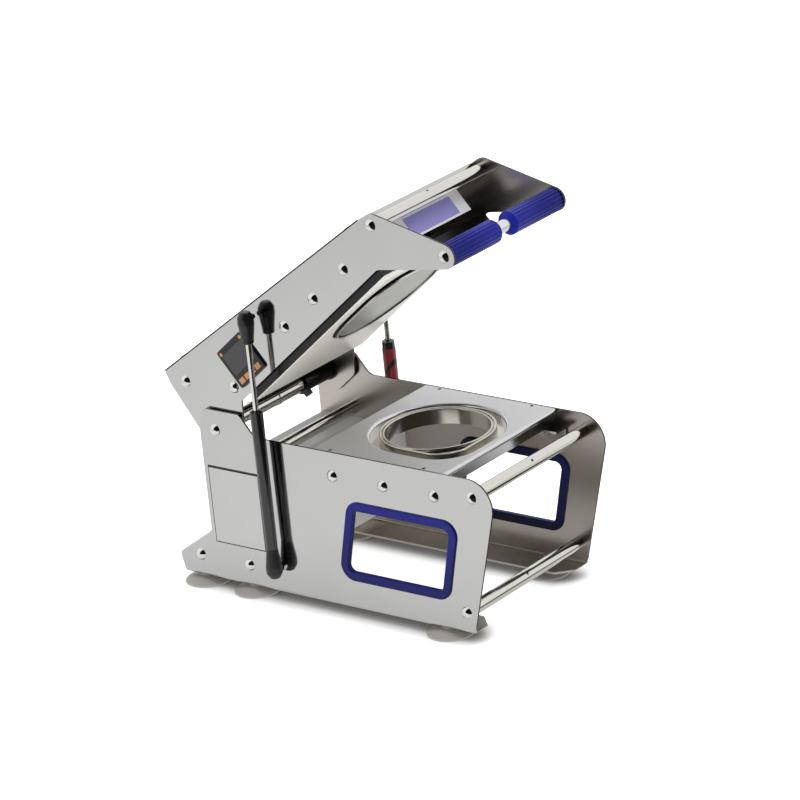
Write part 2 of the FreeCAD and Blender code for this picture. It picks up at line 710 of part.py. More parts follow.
def electrics_box():
    box = block(BOX_BACK, BOX_FRONT, -INNER, INNER, BOX_BOTTOM, BOX_TOP)
    hollow = block(BOX_BACK + BOX_WALL, BOX_FRONT - BOX_WALL, -INNER + BOX_WALL, INNER - BOX_WALL,
                   BOX_BOTTOM + BOX_WALL, BOX_TOP - BOX_WALL)
    box = box.cut(hollow).cut(service_window(-INNER - 1, -INNER + BOX_WALL + 1))
    box = box.cut(block(BOX_BACK - 1, BOX_BACK + BOX_WALL + 1, FITTING_Y - SWITCH_W / 2 + 1,
                        FITTING_Y + SWITCH_W / 2 - 1, SWITCH_Z - SWITCH_H / 2 + 1,
                        SWITCH_Z + SWITCH_H / 2 - 1))
    inlet = Part.makeCylinder(INLET_R - 1, BOX_WALL + 2, Vector(BOX_BACK - 1, FITTING_Y, INLET_Z),
                              Vector(1, 0, 0))
    return box.cut(inlet)


def relay_and_terminals():
    """Relay on its heat sink and the terminal strip, on the electrics box's floor."""
    floor = BOX_BOTTOM + BOX_WALL
    relay = block(*RELAY[:4], floor, floor + RELAY[4])
    back, front, left, right, height = TERMINALS
    strip = block(back, front, left, right, floor, floor + height)
    for i in range(1, int((right - left) / TERMINAL_PITCH)):
        y = left + i * TERMINAL_PITCH
        slot = block(back - 1, front + 1, y, y + TERMINAL_SLOT, floor + height / 2, floor + height + 1)
        strip = strip.cut(slot)
    return group(relay, strip)


def cable_inlet():
    """Screwed gland in the electrics box's back wall, without its cord."""
    nut = hex_nut(GLAND_BORE_R, INLET_R + 1.5)
    nut.rotate(Vector(0, 0, 0), Vector(1, 0, 0), 180)
    nut = nut.common(Part.makeCylinder(3 * INLET_R, GLAND_NUT_T))
    top = GLAND_NUT_T + GLAND_CAP_T
    neck_r = INLET_R - 1.1
    cap = turned([(GLAND_BORE_R, GLAND_NUT_T, 0), (INLET_R, GLAND_NUT_T, 0), (INLET_R - 1.2, top, 1.5),
                  (GLAND_BORE_R, top, 0)])
    neck = turned([(GLAND_BORE_R, -GLAND_NECK, 0), (neck_r, -GLAND_NECK, 0), (neck_r, 0, 0),
                   (GLAND_BORE_R, 0, 0)])
    gland = nut.fuse([cap, neck]).removeSplitter()
    gland.rotate(Vector(0, 0, 0), Vector(0, 1, 0), -90)
    gland.translate(Vector(BOX_BACK, FITTING_Y, INLET_Z))
    return gland


def switch_block(x0, x1, inset):
    """Block on the switch's middle line, its sides moved inwards by inset."""
    return block(x0, x1, FITTING_Y - SWITCH_W / 2 + inset, FITTING_Y + SWITCH_W / 2 - inset,
                 SWITCH_Z - SWITCH_H / 2 + inset, SWITCH_Z + SWITCH_H / 2 - inset)


def rocker_pin(radius, reach):
    start = Vector(BOX_BACK + ROCKER_PIN, FITTING_Y - reach, SWITCH_Z)
    return Part.makeCylinder(radius, 2 * reach, start, Vector(0, 1, 0))


def switch_frame():
    """Snap-in frame of the mains switch, with the bores that the rocker's pin turns in."""
    frame = switch_block(BOX_BACK - 2, BOX_BACK, -1)
    frame = frame.fuse(switch_block(BOX_BACK, BOX_BACK + SWITCH_DEPTH, 1.1))
    frame = frame.cut(switch_block(BOX_BACK - 3, BOX_BACK + SWITCH_DEPTH / 2, SWITCH_WALL))
    pin_reach = SWITCH_W / 2 - SWITCH_WALL - 0.4 + ROCKER_PIN_OUT
    return frame.cut(rocker_pin(ROCKER_PIN_R + RUNNING, pin_reach + 0.2)).removeSplitter()


def switch_rocker():
    """Rocker of the mains switch, dished between its two ends, with the pin it turns on."""
    half_w = SWITCH_W / 2 - SWITCH_WALL - 0.4
    half_h = SWITCH_H / 2 - SWITCH_WALL - 1.0
    profile = [(BOX_BACK - 4.2, SWITCH_Z + half_h, 0.8), (BOX_BACK - 2.6, SWITCH_Z, 6),
               (BOX_BACK - 4.2, SWITCH_Z - half_h, 0.8), (BOX_BACK + 1.5, SWITCH_Z - half_h, 0),
               (BOX_BACK + 4, SWITCH_Z, 2), (BOX_BACK + 1.5, SWITCH_Z + half_h, 0)]
    rocker = slab(profile, FITTING_Y - half_w, FITTING_Y + half_w)
    pin = Vector(BOX_BACK + ROCKER_PIN, FITTING_Y, SWITCH_Z)
    rocker.rotate(pin, Vector(0, 1, 0), -ROCKER_DEG / 2)
    return rocker.fuse(rocker_pin(ROCKER_PIN_R, half_w + ROCKER_PIN_OUT)).removeSplitter()


def pivot_shaft():
    return tie_rod(PIVOT, PIVOT_R, INNER)


def thrust_washers():
    """Plain washers between the side plates and the arm plates."""
    pieces = []
    for side in (-1, 1):
        ring = turned([(PIVOT_R, 0, 0), (WASHER_R, 0, 0), (WASHER_R, INNER - ARM_OUT - WASHER_GAP, 0),
                       (PIVOT_R, INNER - ARM_OUT - WASHER_GAP, 0)])
        pieces.append(across(ring, PIVOT, ARM_OUT + WASHER_GAP, side))
    return group(*pieces)


def pivot_tube():
    """Steel tube that joins the arm plates round the shaft, with its left hub and two rings."""
    end = ARM_IN - SLEEVE_LENGTH - CLAMP_W
    tube = bar(PIVOT, TUBE_R, -ARM_IN, end).fuse(bar(PIVOT, HUB_R, -ARM_IN, -ARM_IN + HUB_T))
    for y in TUBE_RINGS_Y:
        tube = tube.fuse(bar(PIVOT, TUBE_R + TUBE_RING_H, y, y + HUB_T))
    return tube.cut(bar(PIVOT, PIVOT_R + RUNNING, -HALF, HALF)).removeSplitter()


def pivot_sleeve():
    """Black sleeve at the right end of the tube, with its hub at the arm plate."""
    start = ARM_IN - SLEEVE_LENGTH
    sleeve = bar(PIVOT, SLEEVE_R, start, ARM_IN).fuse(bar(PIVOT, HUB_R, ARM_IN - HUB_T, ARM_IN))
    return sleeve.cut(bar(PIVOT, PIVOT_R + RUNNING, 0, HALF)).removeSplitter()


def pivot_clamp():
    """Split clamp between the tube and the sleeve, with the two screws that close it."""
    start = ARM_IN - SLEEVE_LENGTH - CLAMP_W
    ring = bar(PIVOT, CLAMP_R, start, start + CLAMP_W)
    for way in (-1, 1):
        ear = block(PIVOT[0] - 4.5, PIVOT[0] + 4.5, start, start + CLAMP_W,
                    min(PIVOT[1], PIVOT[1] + way * (CLAMP_R + 5)),
                    max(PIVOT[1], PIVOT[1] + way * (CLAMP_R + 5)))
        ring = ring.fuse(ear)
    ring = ring.cut(bar(PIVOT, PIVOT_R + RUNNING, 0, HALF))
    return ring.removeSplitter()


def roof_line(x):
    """Height of the arm plates' top edge."""
    return ARM_BACK_TOP[1] - ROOF_SLOPE * (x - ARM_BACK_TOP[0])


def nose_point(degrees):
    turn = math.radians(degrees)
    return (HANDLE[0] + NOSE_R * math.cos(turn), HANDLE[1] + NOSE_R * math.sin(turn))


def arm_screw_spots():
    return ([REAR_TOP_AXLE, REAR_LOW_AXLE, FRONT_TOP_ROD, HANDLE]
            + [(x, CROSS_RODS_Z) for x in CROSS_RODS_X])


def arm_plate(with_control):
    """Left arm plate, with the two bent tabs that the cover is screwed to."""
    front = nose_point(NOSE_FRONT_DEG)
    under = nose_point(NOSE_BACK_DEG)
    shape = slab([(ARM_BACK_TOP[0], ARM_BACK_TOP[1], 3), (ARM_FRONT_TOP[0], ARM_FRONT_TOP[1], ARM_FRONT_R),
                  (front[0], front[1], 0), (HANDLE[0], HANDLE[1], 0), (under[0], under[1], 0),
                  (NOTCH_X, ARM_BOTTOM, 12), (LOBE_FRONT_X, ARM_BOTTOM, 5),
                  (LOBE_FRONT_X - 33.5, LOBE_BOTTOM, 13), (LOBE_BACK_X + 15, LOBE_BOTTOM, 12),
                  (LOBE_BACK_X, LOBE_BOTTOM + 14, 12), (LOBE_BACK_X, LOBE_BOTTOM + 50, 30),
                  (LOBE_BACK_X + 5.6, LOBE_BOTTOM + 121, 20)], -ARM_OUT, -ARM_IN)
    shape = shape.fuse(bar(HANDLE, NOSE_R, -ARM_OUT, -ARM_IN))
    for x in ROOF_SCREWS_X:
        shape = shape.fuse(roof_tab(x))
    shape = shape.cut(bar(PIVOT, PIVOT_R + RUNNING, -HALF, -ARM_IN + 1))
    for spot in arm_screw_spots():
        shape = shape.cut(bar(spot, SCREW_HOLE_R, -HALF, -ARM_IN + 1))
    for x in ROOF_SCREWS_X:
        shape = shape.cut(roof_hole(x, -1))
    if with_control:
        half = CONTROL_CUTOUT / 2
        shape = shape.cut(block(CONTROL_X - half, CONTROL_X + half, -HALF, -ARM_IN + 1,
                                CONTROL_Z - half, CONTROL_Z + half))
    return shape.removeSplitter()


def square_to_roof(shape, x, side):
    """Puts a piece drawn up +Z on the cover's upper face at x, on the middle of the tab of that side."""
    placed = shape.copy()
    placed.rotate(Vector(0, 0, 0), Vector(0, 1, 0), math.degrees(math.atan(ROOF_SLOPE)))
    top = roof_line(x) + ROOF_T * math.sqrt(1 + ROOF_SLOPE ** 2)
    placed.translate(Vector(x, side * (ARM_IN - TAB_WIDTH / 2), top))
    return placed


def roof_hole(x, side):
    depth = ROOF_T + 2 * SHEET
    return square_to_roof(Part.makeCylinder(ROOF_SCREW_R, depth + 1, Vector(0, 0, -depth)), x, side)


def roof_tab(x):
    """Tab bent inwards just under the cover at x."""
    x0 = x - TAB_LENGTH / 2
    x1 = x + TAB_LENGTH / 2
    return slab([(x0, roof_line(x0), 0), (x1, roof_line(x1), 0), (x1, roof_line(x1) - SHEET, 0),
                 (x0, roof_line(x0) - SHEET, 0)], -ARM_IN - 1, -ARM_IN + TAB_WIDTH)


def arm_screws(side):
    spots = arm_screw_spots()
    return group(*[across(domed_screw(SHEET + SCREW_DEPTH - 1), spot, ARM_OUT, side) for spot in spots])


def cross_rods():
    return group(*[tie_rod((x, CROSS_RODS_Z), ROD_R, ARM_IN) for x in CROSS_RODS_X])


def film_axle(spot):
    return tie_rod(spot, AXLE_R, ARM_IN)


def film_spindle():
    """Tube that the film roll turns with, between two flanges."""
    reach = ARM_IN - END_PLAY
    tube = bar(REAR_TOP_AXLE, SPINDLE_R, -reach, reach)
    for side in (-1, 1):
        flange = Part.makeCylinder(SPINDLE_FLANGE_R, SPINDLE_FLANGE_T, Vector(0, 0, -SPINDLE_FLANGE_T))
        tube = tube.fuse(across(flange, REAR_TOP_AXLE, reach, side))
    return tube.cut(bar(REAR_TOP_AXLE, AXLE_R + RUNNING, -HALF, HALF)).removeSplitter()


def film_roller():
    reach = ARM_IN - END_PLAY
    tube = bar(REAR_LOW_AXLE, ROLLER_R, -reach, reach)
    return tube.cut(bar(REAR_LOW_AXLE, AXLE_R + RUNNING, -HALF, HALF))


def grip():
    """Left rubber grip with lengthwise grooves and a rounded inner end."""
    start = -ARM_IN + GRIP_END_GAP
    end = start + GRIP_LENGTH
    body = bar(HANDLE, GRIP_R, start, end)
    body = body.makeFillet(GRIP_ROUND, [edge for edge in body.Edges if abs(edge.BoundBox.YMin - end) < 0.01])
    for i in range(GRIP_RIBS):
        turn = 2 * math.pi * i / GRIP_RIBS
        spot = (HANDLE[0] + GRIP_R * math.cos(turn), HANDLE[1] + GRIP_R * math.sin(turn))
        body = body.cut(bar(spot, GRIP_GROOVE_R, start + GRIP_END_GAP, end - GRIP_PLAIN))
    return body.cut(bar(HANDLE, HANDLE_BAR_R, -HALF, 0)).removeSplitter()


def roof():
    """Cover sheet on the arm plates' top edges, its front edge bent down between the plates."""
    x0 = ARM_BACK_TOP[0] + 1
    x1 = ROOF_FRONT_X
    sheet = slab([(x0, roof_line(x0), 0), (x1, roof_line(x1), 0), (x1, roof_line(x1) + ROOF_T, 1.5),
                  (x0, roof_line(x0) + ROOF_T, 0)], -ARM_OUT, ARM_OUT)
    lip = slab([(x1 - ROOF_T, roof_line(x1) + ROOF_T / 2, 0), (x1, roof_line(x1) + ROOF_T / 2, 0),
                (x1, roof_line(x1) - ROOF_LIP, 0), (x1 - ROOF_T, roof_line(x1) - ROOF_LIP, 0)],
               -ARM_IN + SLIDE_GAP, ARM_IN - SLIDE_GAP)
    sheet = sheet.fuse(lip)
    for x in ROOF_SCREWS_X:
        for way in (-1, 1):
            sheet = sheet.cut(roof_hole(x, way))
    return sheet.removeSplitter()


def roof_screws():
    """Small pan-head screws of the cover."""
    grip_length = ROOF_T + 2 * SHEET
    head = turned([(0, 0, 0), (PAN_HEAD_R, 0, 0), (PAN_HEAD_R, PAN_HEAD_H, 1.6), (0, PAN_HEAD_H, 0)])
    screw = head.fuse(Part.makeCylinder(ROOF_SCREW_R - 0.1, grip_length, Vector(0, 0, -grip_length)))
    return group(*[square_to_roof(screw, x, side) for x in ROOF_SCREWS_X for side in (-1, 1)])


def fascia():
    """White sheet behind the front rod, up to the cover."""
    x0 = FASCIA_X
    x1 = FASCIA_X + FASCIA_T
    return slab([(x0, FASCIA_BOTTOM, 0), (x1, FASCIA_BOTTOM, 0), (x1, roof_line(x1), 0),
                 (x0, roof_line(x0), 0)], -FASCIA_WIDTH / 2, FASCIA_WIDTH / 2)


def label_panel():
    x0 = FASCIA_X + FASCIA_T
    return block(x0, x0 + LABEL_T, LABEL_SHIFT - LABEL_LENGTH / 2, LABEL_SHIFT + LABEL_LENGTH / 2,
                 LABEL_BOTTOM, LABEL_BOTTOM + LABEL_HEIGHT)


def key_spots():
    row = [(i - (KEY_COUNT - 1) / 2) * KEY_PITCH for i in range(KEY_COUNT)]
    return [(CONTROL_X + step, CONTROL_Z - KEY_DROP) for step in row]


def lamp_spots():
    edge = CONTROL_SIDE / 2 - LAMP_INSET
    return [(CONTROL_X + way * edge, CONTROL_Z + edge) for way in (-1, 1)]


def control_case():
    """Square bezel on the arm plate and the housing behind it."""
    half = CONTROL_SIDE / 2
    face = -ARM_OUT - CONTROL_PROUD
    bezel = slab([(CONTROL_X - half, CONTROL_Z - half, CONTROL_CORNER_R),
                  (CONTROL_X - half, CONTROL_Z + half, CONTROL_CORNER_R),
                  (CONTROL_X + half, CONTROL_Z + half, CONTROL_CORNER_R),
                  (CONTROL_X + half, CONTROL_Z - half, CONTROL_CORNER_R)], face, -ARM_OUT)
    body = CONTROL_BODY / 2
    rear = block(CONTROL_X - body, CONTROL_X + body, -ARM_OUT, -ARM_OUT + CONTROL_BODY_DEPTH,
                 CONTROL_Z - body, CONTROL_Z + body)
    case = bezel.fuse(rear)
    case = case.cut(block(CONTROL_X - PANE_LENGTH / 2, CONTROL_X + PANE_LENGTH / 2, face - 1, face + PANE_T,
                          CONTROL_Z + PANE_RISE - PANE_HEIGHT / 2, CONTROL_Z + PANE_RISE + PANE_HEIGHT / 2))
    for x, z in key_spots():
        half_l = KEY_LENGTH / 2 + KEY_GAP
        half_h = KEY_HEIGHT / 2 + KEY_GAP
        case = case.cut(block(x - half_l, x + half_l, face - 1, face + KEY_POCKET, z - half_h, z + half_h))
    for spot in lamp_spots():
        case = case.cut(bar(spot, LAMP_R, face - 1, face + 1.5))
    return case.removeSplitter()


def control_pane():
    face = -ARM_OUT - CONTROL_PROUD
    return block(CONTROL_X - PANE_LENGTH / 2, CONTROL_X + PANE_LENGTH / 2, face, face + PANE_T,
                 CONTROL_Z + PANE_RISE - PANE_HEIGHT / 2, CONTROL_Z + PANE_RISE + PANE_HEIGHT / 2)


def control_lamps():
    face = -ARM_OUT - CONTROL_PROUD
    return group(*[bar(spot, LAMP_R, face - 0.4, face + 1.5) for spot in lamp_spots()])


def control_key(spot):
    face = -ARM_OUT - CONTROL_PROUD
    x, z = spot
    return block(x - KEY_LENGTH / 2, x + KEY_LENGTH / 2, face - KEY_PROUD, face - KEY_PROUD + KEY_T,
                 z - KEY_HEIGHT / 2, z + KEY_HEIGHT / 2)


def head_frame():
    """Black frame round the heater head."""
    half = HEAD_WIDTH / 2
    z0 = HEAD_BOTTOM + FACE_T
    frame = block(HEAD_BACK, HEAD_FRONT, -half, half, z0, HEAD_TOP)
    return frame.cut(block(HEAD_BACK + HEAD_FRAME_T, HEAD_FRONT - HEAD_FRAME_T, -half + HEAD_FRAME_T,
                           half - HEAD_FRAME_T, z0 - 1, HEAD_TOP + 1))


def head_face():
    """Pale sheet under the head, open round the cutter."""
    half = HEAD_WIDTH / 2
    top = HEAD_BOTTOM + FACE_T
    sheet = block(HEAD_BACK, HEAD_FRONT, -half, half, HEAD_BOTTOM, top)
    for y0, y1 in FACE_SLOTS_Y:
        sheet = sheet.cut(block(FACE_SLOT_X, FACE_SLOT_X + FACE_SLOT_W, y0, y1, HEAD_BOTTOM - 1, top + 1))
    return sheet.cut(film_solid(FACE_HOLE_R, HEAD_BOTTOM - 1, top + 1))


def post_spots():
    return [(x, way * POST_Y) for x in POSTS_X for way in (-1, 1)]


def head_carrier():
    """Plate on top of the head that holds the heater and the cutter and hangs from the posts."""
    half = HEAD_WIDTH / 2
    return block(HEAD_BACK, HEAD_FRONT, -half, half, HEAD_TOP, CARRIER_TOP)


def heater_disc():
    top = HEATER_BOTTOM + HEATER_T
    disc = film_solid(HEATER_R, HEATER_BOTTOM, top)
    disc = disc.makeFillet(1.0, edges_at(disc, HEATER_BOTTOM))
    return disc.fuse(post(MOULD_X, 0, HEATER_BOSS_R, top, HEAD_TOP)).removeSplitter()


def heater_element():
    """Sheathed ring element that lies on the disc's back."""
    return Part.makeTorus(ELEMENT_R, ELEMENT_WIRE_R,
                          Vector(MOULD_X, 0, HEATER_BOTTOM + HEATER_T + ELEMENT_WIRE_R))


def cutter_ring():
    """Cutting ring, ground to an edge on its outer side."""
    ring = film_solid(CUTTER_R, CUTTER_BOTTOM, HEAD_TOP)
    ring = ring.makeChamfer(CUTTER_BEVEL, edges_at(ring, CUTTER_BOTTOM))
    return ring.cut(film_solid(CUTTER_R - CUTTER_WALL, CUTTER_BOTTOM - 1, HEAD_TOP + 1))


def guide_posts():
    """Posts that the head slides up on, each with its foot on the carrier and its stop nut."""
    pieces = []
    for x, y in post_spots():
        shaft = post(x, y, POST_R, CARRIER_TOP, POST_TOP)
        foot_disc = post(x, y, POST_FOOT_R, CARRIER_TOP, CARRIER_TOP + POST_FOOT_T)
        nut = post(x, y, POST_NUT_R, GUIDE_TOP + SLIDE_GAP, GUIDE_TOP + SLIDE_GAP + POST_NUT_H)
        pieces.append(shaft.fuse([foot_disc, nut]).removeSplitter())
    return group(*pieces)


def head_springs():
    """Coil springs that press the head down."""
    z0 = CARRIER_TOP + POST_FOOT_T
    length = GUIDE_BOTTOM - z0
    pieces = []
    for x, y in post_spots():
        coil = post(x, y, SPRING_R, z0, z0 + length).cut(post(x, y, SPRING_R - 2, z0 - 1, z0 + length + 1))
        pieces.append(coil)
    return group(*pieces)


def guide_screw_spots():
    return [(x, way * GUIDE_SCREW_Y) for x in (CROSS_RODS_X[0], CROSS_RODS_X[-1]) for way in (-1, 1)]


def guide_plate():
    """Plate on the cross rods that guides the posts."""
    half = GUIDE_WIDTH / 2
    plate = deck([(GUIDE_BACK, -half, 6), (GUIDE_FRONT, -half, 6), (GUIDE_FRONT, half, 6),
                  (GUIDE_BACK, half, 6)], GUIDE_BOTTOM, GUIDE_TOP)
    for x, y in post_spots():
        plate = plate.cut(post(x, y, POST_R + RUNNING, GUIDE_BOTTOM - 1, GUIDE_TOP + 1))
    for x, y in guide_screw_spots():
        plate = plate.cut(post(x, y, GUIDE_SCREW_R + 0.1, GUIDE_BOTTOM - 1, GUIDE_TOP + 1))
    return plate


def guide_screws():
    """Cap screws that hold the guide plate on the outer cross rods."""
    pieces = []
    for x, y in guide_screw_spots():
        head = post(x, y, 5.0, GUIDE_TOP, GUIDE_TOP + 6)
        shank = post(x, y, GUIDE_SCREW_R, CROSS_RODS_Z, GUIDE_TOP)
        socket = post(x, y, 2.5, GUIDE_TOP + 3, GUIDE_TOP + 7)
        pieces.append(head.fuse(shank).cut(socket).removeSplitter())
    return group(*pieces)


def drilled_cross_rods():
    """Cross rods with the tapped holes of the guide plate's screws."""
    rods = []
    for rod in cross_rods().Solids:
        for x, y in guide_screw_spots():
            rod = rod.cut(post(x, y, GUIDE_SCREW_R + 0.1, CROSS_RODS_Z - 0.5, GUIDE_TOP))
        rods.append(rod)
    return group(*rods)


def spring_length():
    """Distance between the gas spring's two balls with the arm open."""
    head = raised_point(SPRING_HEAD)
    return math.hypot(head[0] - SPRING_FOOT[0], head[1] - SPRING_FOOT[1])


def along_spring(shape):
    """Puts a piece drawn up +Z from the lower stud on the left gas spring's line."""
    head = raised_point(SPRING_HEAD)
    lean = math.degrees(math.atan2(head[0] - SPRING_FOOT[0], head[1] - SPRING_FOOT[1]))
    placed = shape.copy()
    placed.rotate(Vector(0, 0, 0), Vector(0, 1, 0), lean)
    placed.translate(Vector(SPRING_FOOT[0], -SPRING_Y, SPRING_FOOT[1]))
    return placed


def ball_socket(play):
    """Black plastic socket whose ball is at the origin and whose neck points down; play is radial."""
    socket = turned([(0, -SOCKET_LENGTH, 0), (SOCKET_R - 3.5, -SOCKET_LENGTH, 3), (SOCKET_R, -5, 12),
                     (SOCKET_R, 3, 6), (SOCKET_R - 5, SOCKET_TOP, 4), (0, SOCKET_TOP, 0)])
    socket = socket.cut(Part.makeSphere(BALL_R + play))
    return socket.cut(Part.makeCylinder(STUD_R + play, 2 * SOCKET_R, Vector(0, 0, 0), Vector(0, 1, 0)))


def ball_stud(start, nut_at):
    """Stud along -Y from start out to its ball, with a flange at nut_at."""
    stud = Part.makeCylinder(STUD_R, SPRING_Y - start, Vector(0, -start, 0), Vector(0, -1, 0))
    flange = Part.makeCylinder(STUD_FLANGE_R, STUD_FLANGE_T, Vector(0, -nut_at, 0), Vector(0, -1, 0))
    return stud.fuse([flange, Part.makeSphere(BALL_R, Vector(0, -SPRING_Y, 0))]).removeSplitter()


def spring_cylinder():
    """Black pressure tube with its lower socket; the rod runs in its gland."""
    base = SOCKET_LENGTH - 3
    tube = turned([(0, base, 0), (CYLINDER_R, base, 1), (CYLINDER_R, CYLINDER_LENGTH, 2),
                   (0, CYLINDER_LENGTH, 0)])
    socket = ball_socket(RUNNING)
    socket.rotate(Vector(0, 0, 0), Vector(0, 1, 0), 180)
    body = tube.fuse(socket)
    floor = base + 5
    bore_length = CYLINDER_LENGTH - GLAND_LENGTH - floor
    body = body.cut(Part.makeCylinder(CYLINDER_BORE_R, bore_length, Vector(0, 0, floor)))
    body = body.cut(Part.makeCylinder(SPRING_ROD_R + RUNNING, CYLINDER_LENGTH, Vector(0, 0, floor)))
    return along_spring(body.removeSplitter())


def spring_rod():
    """Polished rod with its piston."""
    piston_z = CYLINDER_LENGTH - GLAND_LENGTH - PISTON_T - 2
    top = spring_length() - SOCKET_LENGTH
    rod = Part.makeCylinder(SPRING_ROD_R, top - piston_z, Vector(0, 0, piston_z))
    piston = Part.makeCylinder(PISTON_R, PISTON_T, Vector(0, 0, piston_z))
    return along_spring(rod.fuse(piston).removeSplitter())


def spring_socket():
    """Upper socket, on the rod's end."""
    socket = ball_socket(0)
    socket.translate(Vector(0, 0, spring_length()))
    return along_spring(socket)


def lower_stud():
    """Ball stud on the side plate that the gas spring's foot turns on, with its nut inside."""
    piece = ball_stud(INNER - 8, HALF)
    piece.translate(Vector(SPRING_FOOT[0], 0, SPRING_FOOT[1]))
    nut = hex_nut(STUD_R - 0.5, 7.5)
    return group(piece.fuse(across(nut, SPRING_FOOT, INNER, -1)).removeSplitter())


def upper_stud():
    """Ball stud in the upper socket, just clear of the arm plate that it is screwed to."""
    start = ARM_OUT + SLIDE_GAP
    piece = ball_stud(start, start)
    piece.translate(Vector(0, SPRING_Y, spring_length()))
    return along_spring(piece)


def spring_sleeve():
    """Red sleeve shrunk on the right gas spring."""
    sleeve = Part.makeCylinder(CYLINDER_R + SLEEVE_LABEL_T, SLEEVE_LABEL_TOP - SLEEVE_LABEL_BOTTOM,
                               Vector(0, 0, SLEEVE_LABEL_BOTTOM))
    sleeve = sleeve.cut(Part.makeCylinder(CYLINDER_R, 300))
    return along_spring(sleeve)


def save(node, shape):
    """Puts the piece in the machine's own frame, with Z at the bench, and writes it."""
    placed = shape.copy()
    placed.translate(Vector(-MIDDLE_X, 0, FOOT_H))
    placed.exportStep("parts/" + node + ".step")


def base_pieces():
    left_plate = side_plate(True)
    right_plate = mirrored(side_plate(False))
    return {
        "left_side_plate": left_plate, "right_side_plate": right_plate,
        "hand_hole_trims": group(hand_hole_trim(), mirrored(hand_hole_trim())),
        "side_screws": group(side_screws(-1), side_screws(1)),
        "service_gasket": service_gasket(), "service_cover": service_cover(),
        "front_rods": group(tie_rod(FRONT_UPPER_ROD, ROD_R, INNER, tommy=True),
                            tie_rod(FRONT_LOWER_ROD, ROD_R, INNER, tommy=True)),
        "tower_rods": group(tie_rod(HEEL_ROD, ROD_R, INNER), tie_rod(TOWER_LOWER_ROD, ROD_R, INNER),
                            bar(TOWER_UPPER_ROD, ROD_R, -INNER, INNER)),
        "table": table(), "cup_mould": cup_mould(), "mould_studs": mould_studs(),
        "table_rails": group(table_rail(), mirrored(table_rail())),
        "feet": feet(), "foot_studs": foot_studs(),
        "electrics_box": electrics_box(), "relay_and_terminals": relay_and_terminals(),
        "cable_inlet": cable_inlet(), "switch_frame": switch_frame(), "switch_rocker": switch_rocker(),
        "pivot_shaft": pivot_shaft(), "thrust_washers": thrust_washers(),
        "spring_lower_studs": group(lower_stud(), mirrored(lower_stud())),
    }


def arm_pieces():
    return {
        "left_arm_plate": arm_plate(True), "right_arm_plate": mirrored(arm_plate(False)),
        "arm_screws": group(arm_screws(-1), arm_screws(1)),
        "pivot_tube": pivot_tube(), "pivot_sleeve": pivot_sleeve(), "pivot_clamp": pivot_clamp(),
        "cross_rods": drilled_cross_rods(),
        "front_top_rod": tie_rod(FRONT_TOP_ROD, ROD_R, ARM_IN, tommy=True),
        "film_axles": group(film_axle(REAR_TOP_AXLE), film_axle(REAR_LOW_AXLE)),
        "film_spindle": film_spindle(), "film_roller": film_roller(),
        "handle_bar": tie_rod(HANDLE, HANDLE_BAR_R, ARM_IN),
        "handle_grips": group(grip(), mirrored(grip())),
        "arm_cover": roof(), "small_screws": group(roof_screws(), guide_screws()),
        "front_fascia": fascia(), "label_panel": label_panel(),
        "control_case": control_case(), "control_pane": control_pane(), "control_lamps": control_lamps(),
        "head_frame": head_frame(), "head_face": head_face(), "head_carrier": head_carrier(),
        "heater_disc": heater_disc(), "heater_element": heater_element(), "cutter_ring": cutter_ring(),
        "guide_posts": guide_posts(), "head_springs": head_springs(), "guide_plate": guide_plate(),
    }


def spring_pieces():
    return {
        "left_spring_cylinder": spring_cylinder(), "right_spring_cylinder": mirrored(spring_cylinder()),
        "right_spring_sleeve": mirrored(spring_sleeve()),
        "left_spring_rod": group(spring_rod(), spring_socket(), upper_stud()),
        "right_spring_rod": mirrored(group(spring_rod(), spring_socket(), upper_stud())),
    }


os.makedirs("parts", exist_ok=True)
for name, piece in base_pieces().items():
    save(name, piece)
for name, piece in arm_pieces().items():
    save(name, raised(piece))
for number, spot in enumerate(key_spots(), start=1):
    save("control_key_" + str(number), raised(control_key(spot)))
for name, piece in spring_pieces().items():
    save(name, piece)
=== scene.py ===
import math

import bpy
import numpy as np
from mathutils import Matrix


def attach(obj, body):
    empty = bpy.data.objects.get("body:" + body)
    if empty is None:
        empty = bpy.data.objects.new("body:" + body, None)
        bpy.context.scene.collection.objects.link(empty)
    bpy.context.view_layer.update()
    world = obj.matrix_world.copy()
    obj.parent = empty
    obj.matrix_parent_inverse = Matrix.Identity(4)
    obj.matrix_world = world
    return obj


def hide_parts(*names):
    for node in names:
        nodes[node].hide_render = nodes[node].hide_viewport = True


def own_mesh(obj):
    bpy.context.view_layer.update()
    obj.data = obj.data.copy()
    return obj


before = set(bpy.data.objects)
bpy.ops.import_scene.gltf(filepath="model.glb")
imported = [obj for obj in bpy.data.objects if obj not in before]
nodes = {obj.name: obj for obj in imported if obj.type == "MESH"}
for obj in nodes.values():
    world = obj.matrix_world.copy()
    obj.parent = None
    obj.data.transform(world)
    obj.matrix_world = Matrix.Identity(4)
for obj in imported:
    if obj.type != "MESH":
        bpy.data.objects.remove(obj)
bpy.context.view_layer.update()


# The machine stands on a white paper sweep in a plain studio, seen from its left front corner and a
# little from above. The camera is the one that was fitted to the photograph.
middle_x = 214.052
foot_height = 14.0


def drawn(x, y, z):
    """A point of the machine's drawing in millimetres, where x is 0 at the tower's back edge and z is 0
    at the side plates' lower edge, as a point of the part in metres: x counts from the machine's middle
    and z from the bench, one foot lower."""
    return np.stack(np.broadcast_arrays((np.asarray(x, float) - middle_x) / 1000, np.asarray(y, float) / 1000,
                                        (np.asarray(z, float) + foot_height) / 1000), -1)


